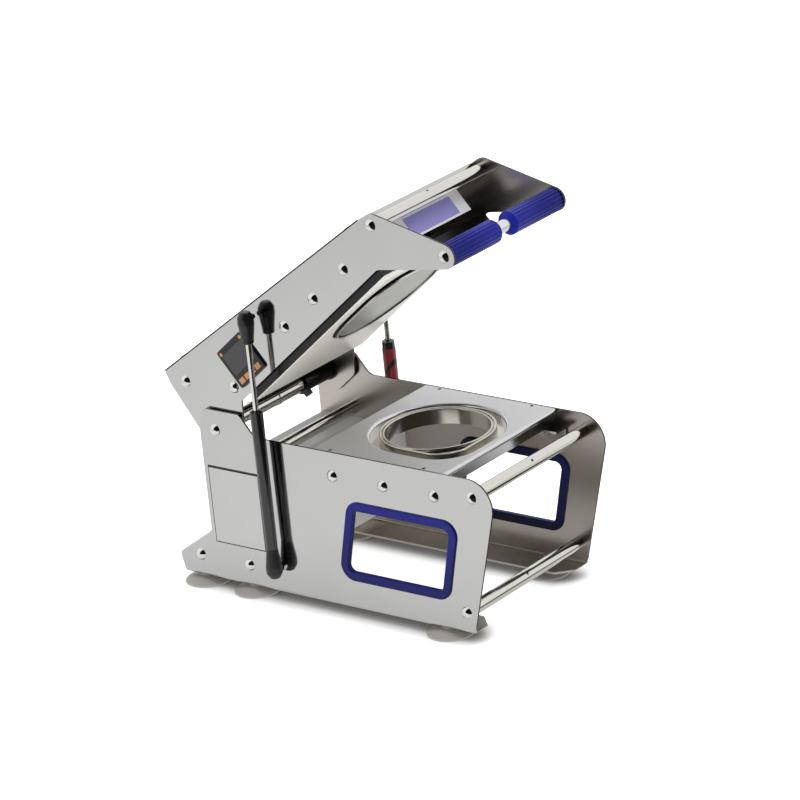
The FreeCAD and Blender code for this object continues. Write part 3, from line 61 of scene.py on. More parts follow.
half_width = 130.0
photo_width_px = 800.0
focal_length_px = 4500.2066
view_rows = np.array([[0.7907307, 0.6048279, -0.0944887],
                      [0.1463750, -0.3366810, -0.9301721],
                      [-0.5944066, 0.7216849, -0.3547557]])
view_shift = np.array([-252.4217, 246.3446, 6227.8655])
eye = -view_rows.T @ view_shift
eye_m = drawn(eye[0], eye[1] - half_width, eye[2])
lens = bpy.data.cameras.new("photo_camera")
lens.sensor_width = 36.0
lens.lens = lens.sensor_width * focal_length_px / photo_width_px
lens.clip_end = 50.0
camera = bpy.data.objects.new("photo_camera", lens)
bpy.context.scene.collection.objects.link(camera)
turn = np.diag([1.0, -1.0, -1.0]) @ view_rows
camera.matrix_world = Matrix([[*turn[:, i], eye_m[i]] for i in range(3)] + [[0.0, 0.0, 0.0, 1.0]])
bpy.context.scene.camera = camera
bpy.context.scene.view_settings.view_transform = "Standard"


def colour(hex_value):
    """Linear colour of an sRGB hex value: each channel c becomes c / 12.92 up to 0.04045, and
    ((c + 0.055) / 1.055) ^ 2.4 above that."""
    parts = [int(hex_value[i:i + 2], 16) / 255 for i in (1, 3, 5)]
    return tuple(c / 12.92 if c <= 0.04045 else ((c + 0.055) / 1.055) ** 2.4 for c in parts) + (1.0,)


def add(tree, kind, links=(), **settings):
    """Adds a node to a tree and returns it. links are (socket that feeds it, name or number of its input)
    pairs. A setting whose name is an input's, with _ for a space, goes on that input, in_N on input number
    N, and any other on the node itself."""
    node = tree.nodes.new(kind)
    for name, value in settings.items():
        if not name.startswith("in_") and node.inputs.get(name.replace("_", " ")) is None:
            setattr(node, name, value)
    for name, value in settings.items():
        if name.startswith("in_"):
            node.inputs[int(name[3:])].default_value = value
        elif node.inputs.get(name.replace("_", " ")) is not None:
            node.inputs[name.replace("_", " ")].default_value = value
    for source, target in links:
        tree.links.new(source, node.inputs[target])
    return node


# World: the camera sees white paper. Polished metal sees a bright ceiling and white walls, and one dark
# end of the room behind the photographer, a little to the right, which gives the domed screws their
# black spots.
world = bpy.data.worlds.new("studio")
bpy.context.scene.world = world
world.use_nodes = True
tree = world.node_tree
tree.nodes.clear()
dark_end = (0.75, -0.65, 0.10)
towards = add(tree, "ShaderNodeTexCoord").outputs["Generated"]
facing = add(tree, "ShaderNodeVectorMath", [(towards, 0)], operation="DOT_PRODUCT", in_1=dark_end)
dusk = add(tree, "ShaderNodeMapRange", [(facing.outputs["Value"], "Value")], interpolation_type="SMOOTHSTEP",
           From_Min=0.37, From_Max=0.49)
reflected = add(tree, "ShaderNodeMix", [(dusk.outputs["Result"], 0)], data_type="RGBA",
                in_6=colour("#FDFDFC"), in_7=colour("#12120F"))
rays = add(tree, "ShaderNodeLightPath")
seen = add(tree, "ShaderNodeBackground", Color=(1, 1, 1, 1), Strength=1.0)
glow = add(tree, "ShaderNodeBackground", [(reflected.outputs[2], "Color")], Strength=1.0)
soft = add(tree, "ShaderNodeBackground", Color=colour("#F4F4F6"), Strength=0.42)
lit = add(tree, "ShaderNodeMixShader",
          [(rays.outputs["Is Glossy Ray"], 0), (soft.outputs[0], 1), (glow.outputs[0], 2)])
room = add(tree, "ShaderNodeMixShader",
           [(rays.outputs["Is Camera Ray"], 0), (lit.outputs[0], 1), (seen.outputs[0], 2)])
add(tree, "ShaderNodeOutputWorld", [(room.outputs[0], "Surface")])


def lamp(name, place, aim, size, watts):
    """Square white area lamp at place that faces aim: its z axis is the line back from aim, and its x axis
    is level. Metal doesn't mirror it, as the world stands for the room."""
    data = bpy.data.lights.new(name, "AREA")
    data.size = size
    data.energy = watts
    holder = bpy.data.objects.new(name, data)
    holder.visible_glossy = False
    bpy.context.scene.collection.objects.link(holder)
    back = np.subtract(place, aim)
    back = back / np.linalg.norm(back)
    across = np.cross((0.0, 0.0, 1.0), back)
    across = across / np.linalg.norm(across)
    up = np.cross(back, across)
    rows = np.stack([across, up, back], 1)
    holder.matrix_world = Matrix([[*rows[i], place[i]] for i in range(3)] + [[0, 0, 0, 1]])


lamp("ceiling_box", (0.1, -0.3, 2.6), (0.0, 0.0, 0.2), 2.2, 36.0)
lamp("front_box", (1.0, -2.6, 2.0), (0.0, 0.0, 0.25), 0.7, 6.0)


# White paper sweep under the machine, a flat sheet whose edge is never in view. In reflections it is
# white round the machine, with a dark olive patch before the machine's front, where the photographer
# stands. What the camera sees of it is white, with a painted shadow that darkens it only where the machine
# all but touches it, and its white glow is a little weaker near the machine. For rays that are neither
# camera nor glossy rays it glows, lighting the machine from below.
floor_mesh = bpy.data.meshes.new("floor")
reach = 14.0
floor_mesh.from_pydata([(-reach, -reach, 0), (reach, -reach, 0), (reach, reach, 0), (-reach, reach, 0)],
                       [], [(0, 1, 2, 3)])
floor = bpy.data.objects.new("floor", floor_mesh)
bpy.context.scene.collection.objects.link(floor)
paper = bpy.data.materials.new("white_paper")
paper.use_nodes = True
tree = paper.node_tree
tree.nodes.clear()
spot = add(tree, "ShaderNodeNewGeometry").outputs["Position"]
axes = add(tree, "ShaderNodeSeparateXYZ", [(spot, 0)])
front = add(tree, "ShaderNodeMapRange", [(axes.outputs["X"], "Value")], interpolation_type="SMOOTHSTEP",
            From_Min=0.25, From_Max=0.40)
near_side = add(tree, "ShaderNodeMapRange", [(axes.outputs["Y"], "Value")], interpolation_type="SMOOTHSTEP",
                From_Min=0.30, From_Max=0.55, To_Min=1.0, To_Max=0.0)
dim = add(tree, "ShaderNodeMath", [(front.outputs["Result"], 0), (near_side.outputs["Result"], 1)],
          operation="MULTIPLY")
around = add(tree, "ShaderNodeVectorMath", [(spot, 0)], operation="LENGTH")
far = add(tree, "ShaderNodeMapRange", [(around.outputs["Value"], "Value")], interpolation_type="SMOOTHSTEP",
          From_Min=0.35, From_Max=1.2, To_Min=0.85, To_Max=1.1)
matt = add(tree, "ShaderNodeBsdfDiffuse", Color=colour("#F2F2F2"))
fill = add(tree, "ShaderNodeEmission", [(far.outputs["Result"], "Strength")], Color=(1, 1, 1, 1))
bright = add(tree, "ShaderNodeAddShader", [(matt.outputs[0], 0), (fill.outputs[0], 1)])
# Painted contact shadow: where the machine closes in within 35 mm, the paper seen by the camera turns dark
# grey.
close = add(tree, "ShaderNodeAmbientOcclusion", samples=12, Distance=0.035)
deep = add(tree, "ShaderNodeMath", [(close.outputs["AO"], 0)], operation="POWER", in_1=1.5)
painted_contact_shadow = add(tree, "ShaderNodeBsdfDiffuse", Color=colour("#4A4742"))
paper_seen = add(tree, "ShaderNodeMixShader",
                 [(deep.outputs[0], 0), (painted_contact_shadow.outputs[0], 1), (bright.outputs[0], 2)])
shade = add(tree, "ShaderNodeMix", [(dim.outputs[0], 0)], data_type="RGBA",
            in_6=colour("#F4F4F2"), in_7=colour("#2A271B"))
mirrored = add(tree, "ShaderNodeEmission", [(shade.outputs[2], "Color")], Strength=0.22)
dusky = add(tree, "ShaderNodeBsdfDiffuse", [(shade.outputs[2], "Color")])
paper_mirrored = add(tree, "ShaderNodeAddShader", [(mirrored.outputs[0], 0), (dusky.outputs[0], 1)])
rays = add(tree, "ShaderNodeLightPath")
bounce = add(tree, "ShaderNodeEmission", Color=(1, 1, 1, 1), Strength=0.55)
lifting = add(tree, "ShaderNodeAddShader", [(matt.outputs[0], 0), (bounce.outputs[0], 1)])
unmirrored = add(tree, "ShaderNodeMixShader",
                 [(rays.outputs["Is Camera Ray"], 0), (lifting.outputs[0], 1), (paper_seen.outputs[0], 2)])
total = add(tree, "ShaderNodeMixShader",
            [(rays.outputs["Is Glossy Ray"], 0), (unmirrored.outputs[0], 1), (paper_mirrored.outputs[0], 2)])
add(tree, "ShaderNodeOutputMaterial", [(total.outputs[0], "Surface")])
floor_mesh.materials.append(paper)


# Side plates, table, rails and arm plates: 3 mm chromium-nickel stainless sheet. The outer faces are
# polished and mirror the white paper as an even light grey, the inner ones are duller, and the cut edges
# are painted dark, a painted shade along them.
flange_top = 0.022
table_top = 0.2385
skin_depth = 0.0002
inner_tone, inner_rough = "#C2BCB5", 0.26
# Painted shade on the sheets' cut edges: they are coloured this dark tone.
painted_edge_shade = "#3B3833"
satin_rough = 0.55


def new_finish(name):
    """A material with an empty node tree, as the material, its tree and its Object coordinates."""
    material = bpy.data.materials.new(name)
    material.use_nodes = True
    tree = material.node_tree
    tree.nodes.clear()
    return material, tree, add(tree, "ShaderNodeTexCoord").outputs["Object"]


def sheet_steel(name, light, dark, rough, spread, grain_axis, inner=0.0, outer=0.0, satin_above=0.0,
                dull_inside=True):
    """Sheet steel: clouds of some 90 mm between two tones, and polishing lines, noise that is 60 mm long
    along grain_axis and 0.4 mm across, which move roughness by spread either way. Where the sheet's inner
    and outer face are given as distances from the middle plane, what lies inside the inner face is duller,
    and what lies between the two, above the folded flange, is painted dark as painted shade on the cut edge.
    What lies above satin_above is satin."""
    material, tree, spot = new_finish(name)
    along, thin = 1 / 0.060, 1 / 0.0004
    stretch = add(tree, "ShaderNodeMapping", [(spot, "Vector")],
                  Scale=tuple(along if a == grain_axis else thin for a in "XYZ"))
    grain = add(tree, "ShaderNodeTexNoise", [(stretch.outputs[0], "Vector")], Scale=1.0, Detail=3.0)
    cloud = add(tree, "ShaderNodeTexNoise", [(spot, "Vector")], Scale=1 / 0.09, Detail=2.0)
    tone = add(tree, "ShaderNodeMix", [(cloud.outputs["Fac"], 0)], data_type="RGBA",
               in_6=colour(light), in_7=colour(dark)).outputs[2]
    wear = add(tree, "ShaderNodeMapRange", [(grain.outputs["Fac"], "Value")], From_Min=0.3, From_Max=0.7,
               To_Min=rough - spread, To_Max=rough + spread).outputs["Result"]
    if outer:
        axes = add(tree, "ShaderNodeSeparateXYZ", [(spot, 0)])
        off_middle = add(tree, "ShaderNodeMath", [(axes.outputs["Y"], 0)], operation="ABSOLUTE")
        inside = add(tree, "ShaderNodeMath", [(off_middle.outputs[0], 0)], operation="LESS_THAN",
                     in_1=inner + skin_depth)
        if dull_inside:
            wear = add(tree, "ShaderNodeMix", [(inside.outputs[0], 0), (wear, 2)],
                       in_3=inner_rough).outputs[0]
            tone = add(tree, "ShaderNodeMix", [(inside.outputs[0], 0), (tone, 6)], data_type="RGBA",
                       in_7=colour(inner_tone)).outputs[2]
        # Painted shade: the cut edge between the two faces, above the flange, takes the dark edge tone.
        middle = add(tree, "ShaderNodeMath", [(off_middle.outputs[0], 0)], operation="COMPARE",
                     in_1=(inner + outer) / 2, in_2=(outer - inner) / 2 - skin_depth)
        above = add(tree, "ShaderNodeMath", [(axes.outputs["Z"], 0)], operation="GREATER_THAN",
                    in_1=flange_top)
        edge = add(tree, "ShaderNodeMath", [(middle.outputs[0], 0), (above.outputs[0], 1)],
                   operation="MULTIPLY")
        tone = add(tree, "ShaderNodeMix", [(edge.outputs[0], 0), (tone, 6)], data_type="RGBA",
                   in_7=colour(painted_edge_shade)).outputs[2]
    if satin_above:
        axes = add(tree, "ShaderNodeSeparateXYZ", [(spot, 0)])
        above = add(tree, "ShaderNodeMath", [(axes.outputs["Z"], 0)], operation="GREATER_THAN",
                    in_1=satin_above)
        wear = add(tree, "ShaderNodeMix", [(above.outputs[0], 0), (wear, 2)], in_3=satin_rough).outputs[0]
    bump = add(tree, "ShaderNodeBump", [(grain.outputs["Fac"], "Height")], Strength=0.05, Distance=0.00002)
    steel = add(tree, "ShaderNodeBsdfPrincipled", [(tone, "Base Color"), (wear, "Roughness"),
                (bump.outputs["Normal"], "Normal")], Metallic=1.0)
    add(tree, "ShaderNodeOutputMaterial", [(steel.outputs[0], "Surface")])
    return material


def dress(material, *names):
    """Gives CAD nodes a material in place of their own."""
    for name in names:
        mesh = nodes[name].data
        mesh.materials.clear()
        mesh.materials.append(material)


dress(sheet_steel("polished_side_sheet", "#C4C4C4", "#CBCBCB", 0.08, 0.02, "X", 0.127, 0.130),
      "left_side_plate", "right_side_plate")
dress(sheet_steel("polished_arm_sheet", "#C8C8C8", "#CFCFCF", 0.08, 0.02, "X", 0.121, 0.124),
      "left_arm_plate", "right_arm_plate")
dress(sheet_steel("cover_sheet", "#C4C4C4", "#CBCBCB", 0.14, 0.03, "X", 0.1235, 0.1250,
                  dull_inside=False), "arm_cover")
polished_sheet = sheet_steel("polished_stainless_sheet", "#C6C6C6", "#CECECE", 0.12, 0.02, "X")
dress(polished_sheet, "service_cover", "table_rails", "guide_plate")
dress(sheet_steel("satin_table_sheet", "#D6D6D8", "#DEDEE0", 0.13, 0.03, "Y", satin_above=table_top), "table")


# Tie rods, hinge tube, mould ring, screws and the other turned or milled parts: ground stainless bar,
# chromed steel and plain aluminium. The rods mirror the white ceiling above and the dark floor ahead.

def turned_steel(name, light, dark, rough):
    """Bright turned metal: slow clouds of 40 mm between two tones, and roughness that fine noise of 0.8 mm
    moves by three tenths either way."""
    material, tree, spot = new_finish(name)
    fine = add(tree, "ShaderNodeTexNoise", [(spot, "Vector")], Scale=1 / 0.0008, Detail=2.0)
    cloud = add(tree, "ShaderNodeTexNoise", [(spot, "Vector")], Scale=1 / 0.04, Detail=2.0)
    tone = add(tree, "ShaderNodeMix", [(cloud.outputs["Fac"], 0)], data_type="RGBA",
               in_6=colour(light), in_7=colour(dark))
    wear = add(tree, "ShaderNodeMapRange", [(fine.outputs["Fac"], "Value")],
               To_Min=rough * 0.7, To_Max=rough * 1.3)
    steel = add(tree, "ShaderNodeBsdfPrincipled", [(tone.outputs[2], "Base Color"),
                (wear.outputs["Result"], "Roughness")], Metallic=1.0)
    add(tree, "ShaderNodeOutputMaterial", [(steel.outputs[0], "Surface")])
    return material


dress(turned_steel("ground_stainless_bar", "#D6D4CD", "#DFDED8", 0.10), "front_rods", "tower_rods",
      "pivot_shaft", "pivot_tube", "cross_rods", "front_top_rod", "film_axles", "film_roller", "guide_posts",
      "mould_studs", "foot_studs", "heater_element")
dress(turned_steel("turned_mould_steel", "#C6C2B9", "#CFCBC3", 0.17), "cup_mould")
chrome = turned_steel("chromed_steel", "#DCDCDC", "#E6E6E6", 0.04)
dress(chrome, "side_screws", "arm_screws", "handle_bar", "small_screws", "thrust_washers",
      "spring_lower_studs")
dress(turned_steel("machined_aluminium", "#A9A9A3", "#B3B3AD", 0.35), "heater_disc")


# Moulded and lacquered pieces: rubber trims, black steel tubes, plastic cases, enamelled sheets.

def coating(name, light, dark, rough, speck, bump_mm, coat=0.0, shine=0.5, painted_shade_reach=0.0):
    """Moulded or lacquered surface: clouds of 50 mm between two tones, and a bump of specks that are speck
    metres across and bump_mm high. Given a reach in metres for painted shade, it darkens by the square of
    how much of the space within that reach is taken up: painted shade in hollows and grooves."""
    material, tree, spot = new_finish(name)
    cloud = add(tree, "ShaderNodeTexNoise", [(spot, "Vector")], Scale=1 / 0.05, Detail=3.0)
    tone = add(tree, "ShaderNodeMix", [(cloud.outputs["Fac"], 0)], data_type="RGBA",
               in_6=colour(light), in_7=colour(dark))
    # Painted shade: the tone is mixed towards near black where the space around is closed in.
    if painted_shade_reach:
        open_air = add(tree, "ShaderNodeAmbientOcclusion", samples=8, Distance=painted_shade_reach)
        airy = add(tree, "ShaderNodeMath", [(open_air.outputs["AO"], 0)], operation="POWER", in_1=2.0)
        tone = add(tree, "ShaderNodeMix", [(airy.outputs[0], 0), (tone.outputs[2], 7)], data_type="RGBA",
                   in_6=colour("#05050C"))
    grit = add(tree, "ShaderNodeTexNoise", [(spot, "Vector")], Scale=1 / speck, Detail=2.0)
    bump = add(tree, "ShaderNodeBump", [(grit.outputs["Fac"], "Height")], Strength=0.3,
               Distance=bump_mm / 1000)
    body = add(tree, "ShaderNodeBsdfPrincipled", [(tone.outputs[2], "Base Color"),
               (bump.outputs["Normal"], "Normal")], Roughness=rough, Coat_Weight=coat, Coat_Roughness=0.1,
               Specular_IOR_Level=shine)
    add(tree, "ShaderNodeOutputMaterial", [(body.outputs[0], "Surface")])
    return material


# Painted shade darkens the blue rubber where the machine closes round it within 0.32 m, most of all on the
# far plate's edging.
dress(coating("blue_channel_rubber", "#1E2590", "#242C9A", 0.40, 0.0010, 0.03, shine=0.2, painted_shade_reach=0.32),
      "hand_hole_trims")
dress(coating("black_lacquered_steel", "#09090B", "#0F0F11", 0.26, 0.0012, 0.01, coat=0.15, shine=0.3),
      "pivot_sleeve", "pivot_clamp", "head_frame", "head_carrier")
dress(coating("black_moulded_plastic", "#121213", "#1A1A1B", 0.38, 0.0006, 0.02),
      "control_case", "switch_frame", "switch_rocker", "cable_inlet", "relay_and_terminals",
      "service_gasket", "film_spindle")
dress(coating("cream_enamel", "#F3F0E6", "#F8F5EC", 0.35, 0.002, 0.01, coat=0.2), "head_face")
dress(coating("white_enamel", "#EFEFEE", "#F4F4F3", 0.30, 0.002, 0.01, coat=0.2),
      "front_fascia", "electrics_box")
dress(coating("violet_label_film", "#9690D4", "#9E98DC", 0.35, 0.001, 0.005), "label_panel")
dress(coating("smoked_window", "#2A2A2C", "#303032", 0.12, 0.002, 0.0, coat=0.5), "control_pane")
dress(coating("amber_plastic", "#C98A58", "#D29564", 0.35, 0.001, 0.01),
      "control_lamps", "control_key_1", "control_key_2", "control_key_3", "control_key_4")


# Six suction feet of pale grey rubber, each a shallow hollow cone with a thin lip, pushed over a stud
# under the side plates' flanges.

def rounded(corners, steps=6):
    """Outline through corners (a, b, r), where an arc of radius r that touches both sides stands in for
    each corner, as steps + 1 points; with r 0 the corner stays. The first and last corners are kept. At an
    exact right angle turn_by comes out as 0: all the points then lie where the arc starts, which leaves a
    bevel and, up to the next corner, a slight taper."""
    corner = np.array(corners, float)
    points = [corner[:1, :2]]
    for before, here, after in zip(corner[:-2], corner[1:-1], corner[2:]):
        back = before[:2] - here[:2]
        ahead = after[:2] - here[:2]
        back, ahead = back / np.linalg.norm(back), ahead / np.linalg.norm(ahead)
        half = math.acos(np.clip(back @ ahead, -1, 1)) / 2
        if here[2] == 0 or half > math.pi / 2 - 1e-3:
            points.append(here[None, :2])
            continue
        middle = here[:2] + (back + ahead) / np.linalg.norm(back + ahead) * here[2] / math.sin(half)
        start = here[:2] + back * here[2] / math.tan(half) - middle
        turn_by = (math.pi - 2 * half) * np.sign(start[0] * ahead[1] - start[1] * ahead[0])
        angle = np.linspace(0, turn_by, steps + 1)[:, None]
        points.append(middle + np.cos(angle) * start + np.sin(angle) * np.array([-start[1], start[0]]))
    points.append(corner[-1:, :2])
    return np.concatenate(points)


def lathe(outline, steps=72):
    """Rings round the z axis: the outline's points (r, z) taken round steps angles, as n × steps × 3."""
    angle = np.linspace(0, 2 * math.pi, steps, endpoint=False)
    r, z = outline[:, :1], outline[:, 1:]
    return np.stack([r * np.cos(angle), r * np.sin(angle), z + 0 * angle], -1)


def skin(rings, loop=False):
    """Closed skin over a stack of n rings of m points: four-cornered faces between neighbouring rings, and
    from each end ring a fan to its middle, or with loop set, faces from the last ring to the first. It is
    turned over where its volume, the sum of a·(b×c)/6 over its triangles, comes out negative."""
    n, m = rings.shape[:2]
    points = rings.reshape(-1, 3)
    here = np.arange(n * m).reshape(n, m)
    if loop:
        here = np.vstack([here, here[:1]])
    beside = np.roll(here, -1, 1)
    quads = np.stack([here[:-1], beside[:-1], beside[1:], here[1:]], -1).reshape(-1, 4)
    fans = np.zeros((0, 3), int)
    if not loop:
        points = np.vstack([points, rings[0].mean(0), rings[-1].mean(0)])
        fans = np.vstack([np.stack([beside[0], here[0], here[0] * 0 + n * m], -1),
                          np.stack([here[-1], beside[-1], here[0] * 0 + n * m + 1], -1)])
    threes = np.vstack([quads[:, [0, 1, 2]], quads[:, [0, 2, 3]], fans])
    a, b, c = (points[threes[:, k]] - points.mean(0) for k in range(3))
    if np.einsum("ij,ij->", a, np.cross(b, c)) < 0:
        quads, fans = quads[:, ::-1], fans[:, ::-1]
    return points, quads, fans


def piece(name, skins, material, body, slot, *replaced):
    """One smooth object from closed skins whose points are in metres. Edges sharper than 35 degrees stay
    sharp. It rides on body and stands for the CAD nodes named in replaced, which it hides. slot is not used."""
    counts = np.cumsum([0] + [len(points) for points, quads, fans in skins])
    faces = []
    for start, (points, quads, fans) in zip(counts, skins):
        faces += (quads + start).tolist() + (fans + start).tolist()
    mesh = bpy.data.meshes.new(name)
    mesh.from_pydata(np.concatenate([points for points, quads, fans in skins]).tolist(), [], faces)
    mesh.shade_smooth()
    mesh.set_sharp_from_angle(angle=math.radians(35))
    mesh.materials.append(material)
    made = bpy.data.objects.new(name, mesh)
    bpy.context.scene.collection.objects.link(made)
    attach(made, body)
    if replaced:
        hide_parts(*replaced)
    return made


foot_outline = rounded([(0.5, -10.4, 0), (9.5, -11.0, 3), (27.6, -13.7, 0.6), (28.6, -14.0, 0.3),
                        (32.6, -14.0, 0.4), (33.0, -12.9, 0.5), (31.6, -11.4, 1.0), (14.8, -5.4, 4),
                        (11.4, -4.3, 1.2), (11.0, -0.6, 0.5), (10.3, 0.0, 0.3), (0.5, 0.0, 0)])
foot_rings = lathe(foot_outline)
foot_places = [(x, y, 0.0) for x in (-32.0, 56.0, 390.0) for y in (-111.0, 111.0)]
foot_rubber = coating("pale_grey_suction_rubber", "#B4B1A9", "#BFBCB5", 0.50, 0.0015, 0.03)
piece("suction_feet", [skin(drawn(*np.moveaxis(foot_rings + place, -1, 0))) for place in foot_places],
      foot_rubber, "base", "foot_rubber", "feet")


# Two handle grips of moulded blue rubber on the chromed bar, with 20 ribs. The grooves between them are
# full depth at the outer end and run out towards the bevelled inner end.
pivot = (27.1, 225.2)
lift = math.radians(40.8)


def on_arm(x, y, z):
    """A point of the closed arm's drawing, at the arm's open stop: turned about the hinge by 40.8 degrees."""
    dx, dz = np.asarray(x, float) - pivot[0], np.asarray(z, float) - pivot[1]
    return drawn(pivot[0] + dx * math.cos(lift) - dz * math.sin(lift), y,
                 pivot[1] + dx * math.sin(lift) + dz * math.cos(lift))


grip_start, grip_end, grip_r, bore_r, ribs, groove_r = 120.0, 12.0, 16.5, 8.9, 20, 1.9
handle_x, handle_z = 545.4, 180.8
grip_spots = rounded([(bore_r, grip_start, 0), (grip_r, grip_start, 0.8), (grip_r, grip_end, 6.0),
                      (bore_r, grip_end, 0)], 10)
between = np.linspace(grip_start - 1.2, grip_end + 6.5, 60)
grip_spots = np.vstack([grip_spots[:8], np.stack([between * 0 + grip_r, between], 1), grip_spots[8:]])

# Each groove is a round of groove_r in section, a little flattened. The outline passes its start point a
# second time, as its corners are right angles, and this pass is the skin that fills the grooves inwards.
angle = np.linspace(0, 2 * math.pi, ribs * 16, endpoint=False)
off_groove = (np.abs((angle * ribs / (2 * math.pi)) % 1 - 0.5)) * 2 * math.pi * grip_r / ribs
groove = np.sqrt(np.clip(groove_r ** 2 - off_groove ** 2, 0, None)) * 0.85
fade = np.clip((grip_spots[:, 1] - grip_end - 8.0) / 3.0, 0, 1)
fade = (fade * fade * (3 - 2 * fade))[:, None] * (grip_spots[:, :1] > 12)
grip_radius = grip_spots[:, :1] - fade * groove
grips = []
for side in (-1, 1):
    grips.append(skin(on_arm(handle_x + grip_radius * np.cos(angle), side * grip_spots[:, 1:] + 0 * angle,
                             handle_z + grip_radius * np.sin(angle))))
# Painted shade darkens the grip rubber in its grooves, where the space within 5 mm is closed in.
grip_rubber = coating("ribbed_blue_grip_rubber", "#161E92", "#1C259C", 0.30, 0.0010, 0.02,
                      shine=0.2, painted_shade_reach=0.005)
piece("ribbed_grips", grips, grip_rubber, "arm", "blue_rubber", "handle_grips")


# Two gas springs that hold the arm open. Each is a black lacquered tube, which widens from 16 mm at the
# foot to 18 mm, with a polished rod, and black plastic sockets that turn on ball studs in the side plate
# and the arm plate.
spring_foot = (120.1, 40.8)
stud_closed = (213.7, 300.4)
spring_y = 146.0
reach_x, reach_z = stud_closed[0] - pivot[0], stud_closed[1] - pivot[1]
rise_x = pivot[0] + reach_x * math.cos(lift) - reach_z * math.sin(lift) - spring_foot[0]
rise_z = pivot[1] + reach_x * math.sin(lift) + reach_z * math.cos(lift) - spring_foot[1]
spring_span = math.hypot(rise_x, rise_z)
lean = math.atan2(rise_x, rise_z)


def on_spring(rings, side):
    """Points drawn up the z axis from the lower stud, on the gas spring of that side: leaned back in the
    side view by the angle between its two studs."""
    x, y, z = np.moveaxis(rings, -1, 0)
    return drawn(spring_foot[0] + x * math.cos(lean) + z * math.sin(lean), side * spring_y - side * y,
                 spring_foot[1] - x * math.sin(lean) + z * math.cos(lean))


tube_outline = rounded([(0.5, 30.5, 0), (9.0, 30.5, 1), (9.0, 234.0, 2.4), (4.3, 234.0, 0.4),
                        (4.3, 232.5, 0), (0.5, 232.5, 0)])
socket_outline = rounded([(0.4, -33.5, 0), (8.0, -33.5, 2.4), (8.4, -27.0, 3), (11.5, -5.0, 12),
                          (11.3, 4.0, 7), (6.5, 12.0, 4), (0.4, 12.0, 0)], 10)
rod_outline = rounded([(0.4, 224.0, 0), (4.0, 224.0, 0.3), (4.0, spring_span - 30.0, 0.3),
                       (0.4, spring_span - 30.0, 0)])
neck_outline = rounded([(0.4, -16.5, 0), (3.5, -16.5, 0), (3.5, -10.5, 0), (7.0, -10.5, 0.6),
                        (7.0, -7.5, 0.6), (3.5, -7.5, 0), (3.5, 0, 0), (0.4, 0, 0)])
tube_lacquer = coating("black_lacquered_tube", "#0B0B0D", "#101012", 0.16, 0.0012, 0.01, coat=0.6)
socket_plastic = coating("black_socket_plastic", "#0F0F10", "#161617", 0.30, 0.0006, 0.02)
for side, word in ((-1, "left"), (1, "right")):
    tube = lathe(tube_outline)
    lower = lathe(socket_outline) * (1, 1, -1)
    upper = lathe(socket_outline) + (0, 0, spring_span)
    rod = lathe(rod_outline)
    neck = lathe(neck_outline)[..., [0, 2, 1]] * (1, -1, 1) + (0, 0, spring_span)
    piece(word + "_gas_tube", [skin(on_spring(tube, side))], tube_lacquer, word + "_cylinder", "black_tube",
          word + "_spring_cylinder")
    piece(word + "_lower_socket", [skin(on_spring(lower, side))], socket_plastic, word + "_cylinder",
          "black_plastic")
    piece(word + "_gas_rod", [skin(on_spring(rod, side))], chrome, word + "_rod", "rod_steel",
          word + "_spring_rod")
    piece(word + "_upper_socket", [skin(on_spring(upper, side)), skin(on_spring(neck, side))],
          socket_plastic, word + "_rod", "black_plastic")


# A red shrunk sleeve over the right gas spring's tube, printed with one black slanting band.
sleeve_outline = rounded([(9.05, 60.0, 0), (9.6, 60.0, 0.2), (9.6, 222.0, 0.3), (9.05, 222.0, 0)])
sleeve = lathe(sleeve_outline)
red_sleeve = coating("red_shrunk_sleeve", "#8E1B25", "#9A222E", 0.30, 0.001, 0.01, coat=0.3)
tree = red_sleeve.node_tree
shader = next(node for node in tree.nodes if node.type == "BSDF_PRINCIPLED")
spot = add(tree, "ShaderNodeTexCoord").outputs["Object"]
band_height = 190.0
band_rise, band_lean = 0.6, 0.8
band_aim = drawn(spring_foot[0] + band_height * math.sin(lean), 0,
                 spring_foot[1] + band_height * math.cos(lean))
slant = np.array([-band_lean * math.cos(lean) + band_rise * math.sin(lean), 0.0,
                  band_lean * math.sin(lean) + band_rise * math.cos(lean)])
across = add(tree, "ShaderNodeVectorMath", [(spot, 0)], operation="DOT_PRODUCT", in_1=tuple(slant))
off = add(tree, "ShaderNodeMath", [(across.outputs["Value"], 0)], operation="SUBTRACT",
          in_1=float(slant @ band_aim))
near = add(tree, "ShaderNodeMath", [(off.outputs[0], 0)], operation="ABSOLUTE")
band = add(tree, "ShaderNodeMapRange", [(near.outputs[0], "Value")], From_Min=0.0022, From_Max=0.0026)
red = shader.inputs["Base Color"].links[0].from_socket
printed = add(tree, "ShaderNodeMix", [(band.outputs["Result"], 0), (red, 7)], data_type="RGBA",
              in_6=colour("#0E0E10"))
tree.links.new(printed.outputs[2], shader.inputs["Base Color"])
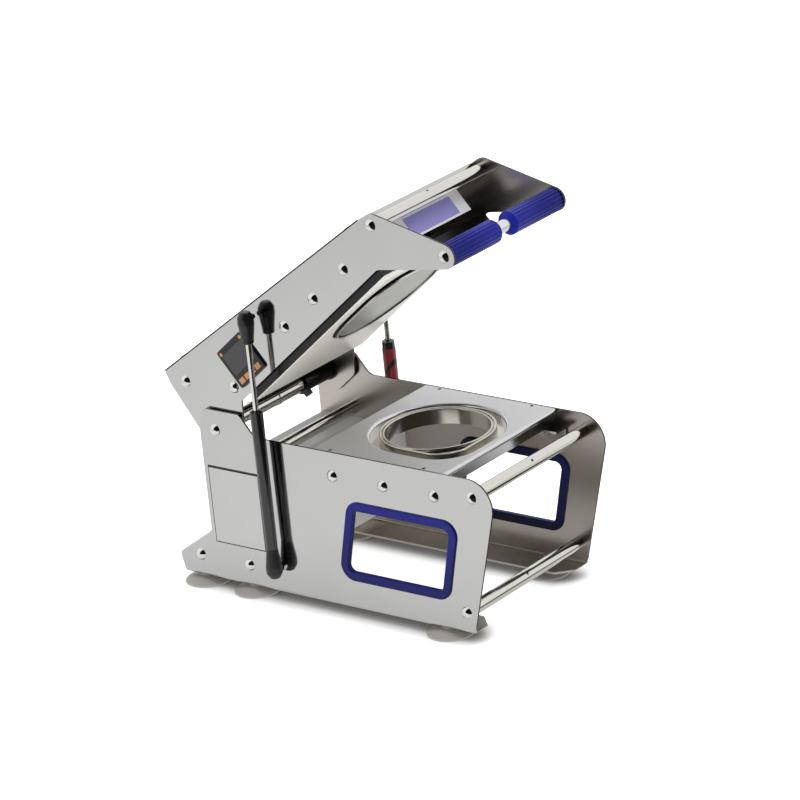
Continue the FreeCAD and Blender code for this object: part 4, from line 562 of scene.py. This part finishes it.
piece("right_sleeve", [skin(on_spring(sleeve, 1), loop=True)], red_sleeve, "right_cylinder", "red_sleeve",
      "right_spring_sleeve")


# Four coil springs round the head's guide posts, of 1.6 mm steel wire, which press the head down and
# are squeezed between it and the guide plate as the head rises. They are drawn at one length and ride on
# the head.
coil_bottom, coil_top, coil_r, wire_r, turns = 235.0, 270.5, 7.6, 0.8, 7
wind = np.linspace(0, 2 * math.pi * turns, turns * 28)[:, None]
round_wire = np.linspace(0, 2 * math.pi, 8, endpoint=False)
out_by = coil_r + wire_r * np.cos(round_wire)
climb = (coil_top - coil_bottom - 2 * wire_r) * wind / wind[-1]
rise = coil_bottom + wire_r + climb + wire_r * np.sin(round_wire)
post_places = [(x, y) for x in (278.5, 352.5) for y in (-45.0, 45.0)]
coils = [skin(on_arm(x + out_by * np.cos(wind), y + out_by * np.sin(wind), rise)) for x, y in post_places]
spring_wire = turned_steel("bright_spring_wire", "#B9B9B7", "#C4C4C2", 0.22)
coil_piece = piece("head_coils", coils, spring_wire, "head", "spring_steel", "head_springs")
up = on_arm(0, 0, 1) - on_arm(0, 0, 0)
tuple(on_arm(315.0, 0.0, coil_bottom))
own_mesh(coil_piece)


# The film cutter, a hardened steel ring that is oil-blackened all over but for its ground edge.
blackened = turned_steel("blackened_cutter_steel", "#161617", "#1E1E1F", 0.30)
tree = blackened.node_tree
shader = next(node for node in tree.nodes if node.type == "BSDF_PRINCIPLED")
spot = add(tree, "ShaderNodeTexCoord").outputs["Object"]
down = (on_arm(0, 0, 0) - on_arm(0, 0, 1)) * 1000
below = add(tree, "ShaderNodeVectorMath", [(spot, 0)], operation="DOT_PRODUCT", in_1=tuple(down))
ground_from_z = 213.6
ground = add(tree, "ShaderNodeMath", [(below.outputs["Value"], 0)], operation="GREATER_THAN",
             in_1=float(down @ on_arm(0, 0, ground_from_z)))
black = shader.inputs["Base Color"].links[0].from_socket
edge_tone = add(tree, "ShaderNodeMix", [(ground.outputs[0], 0), (black, 6)], data_type="RGBA",
                in_7=colour("#E6E6E4"))
tree.links.new(edge_tone.outputs[2], shader.inputs["Base Color"])
dress(blackened, "cutter_ring")
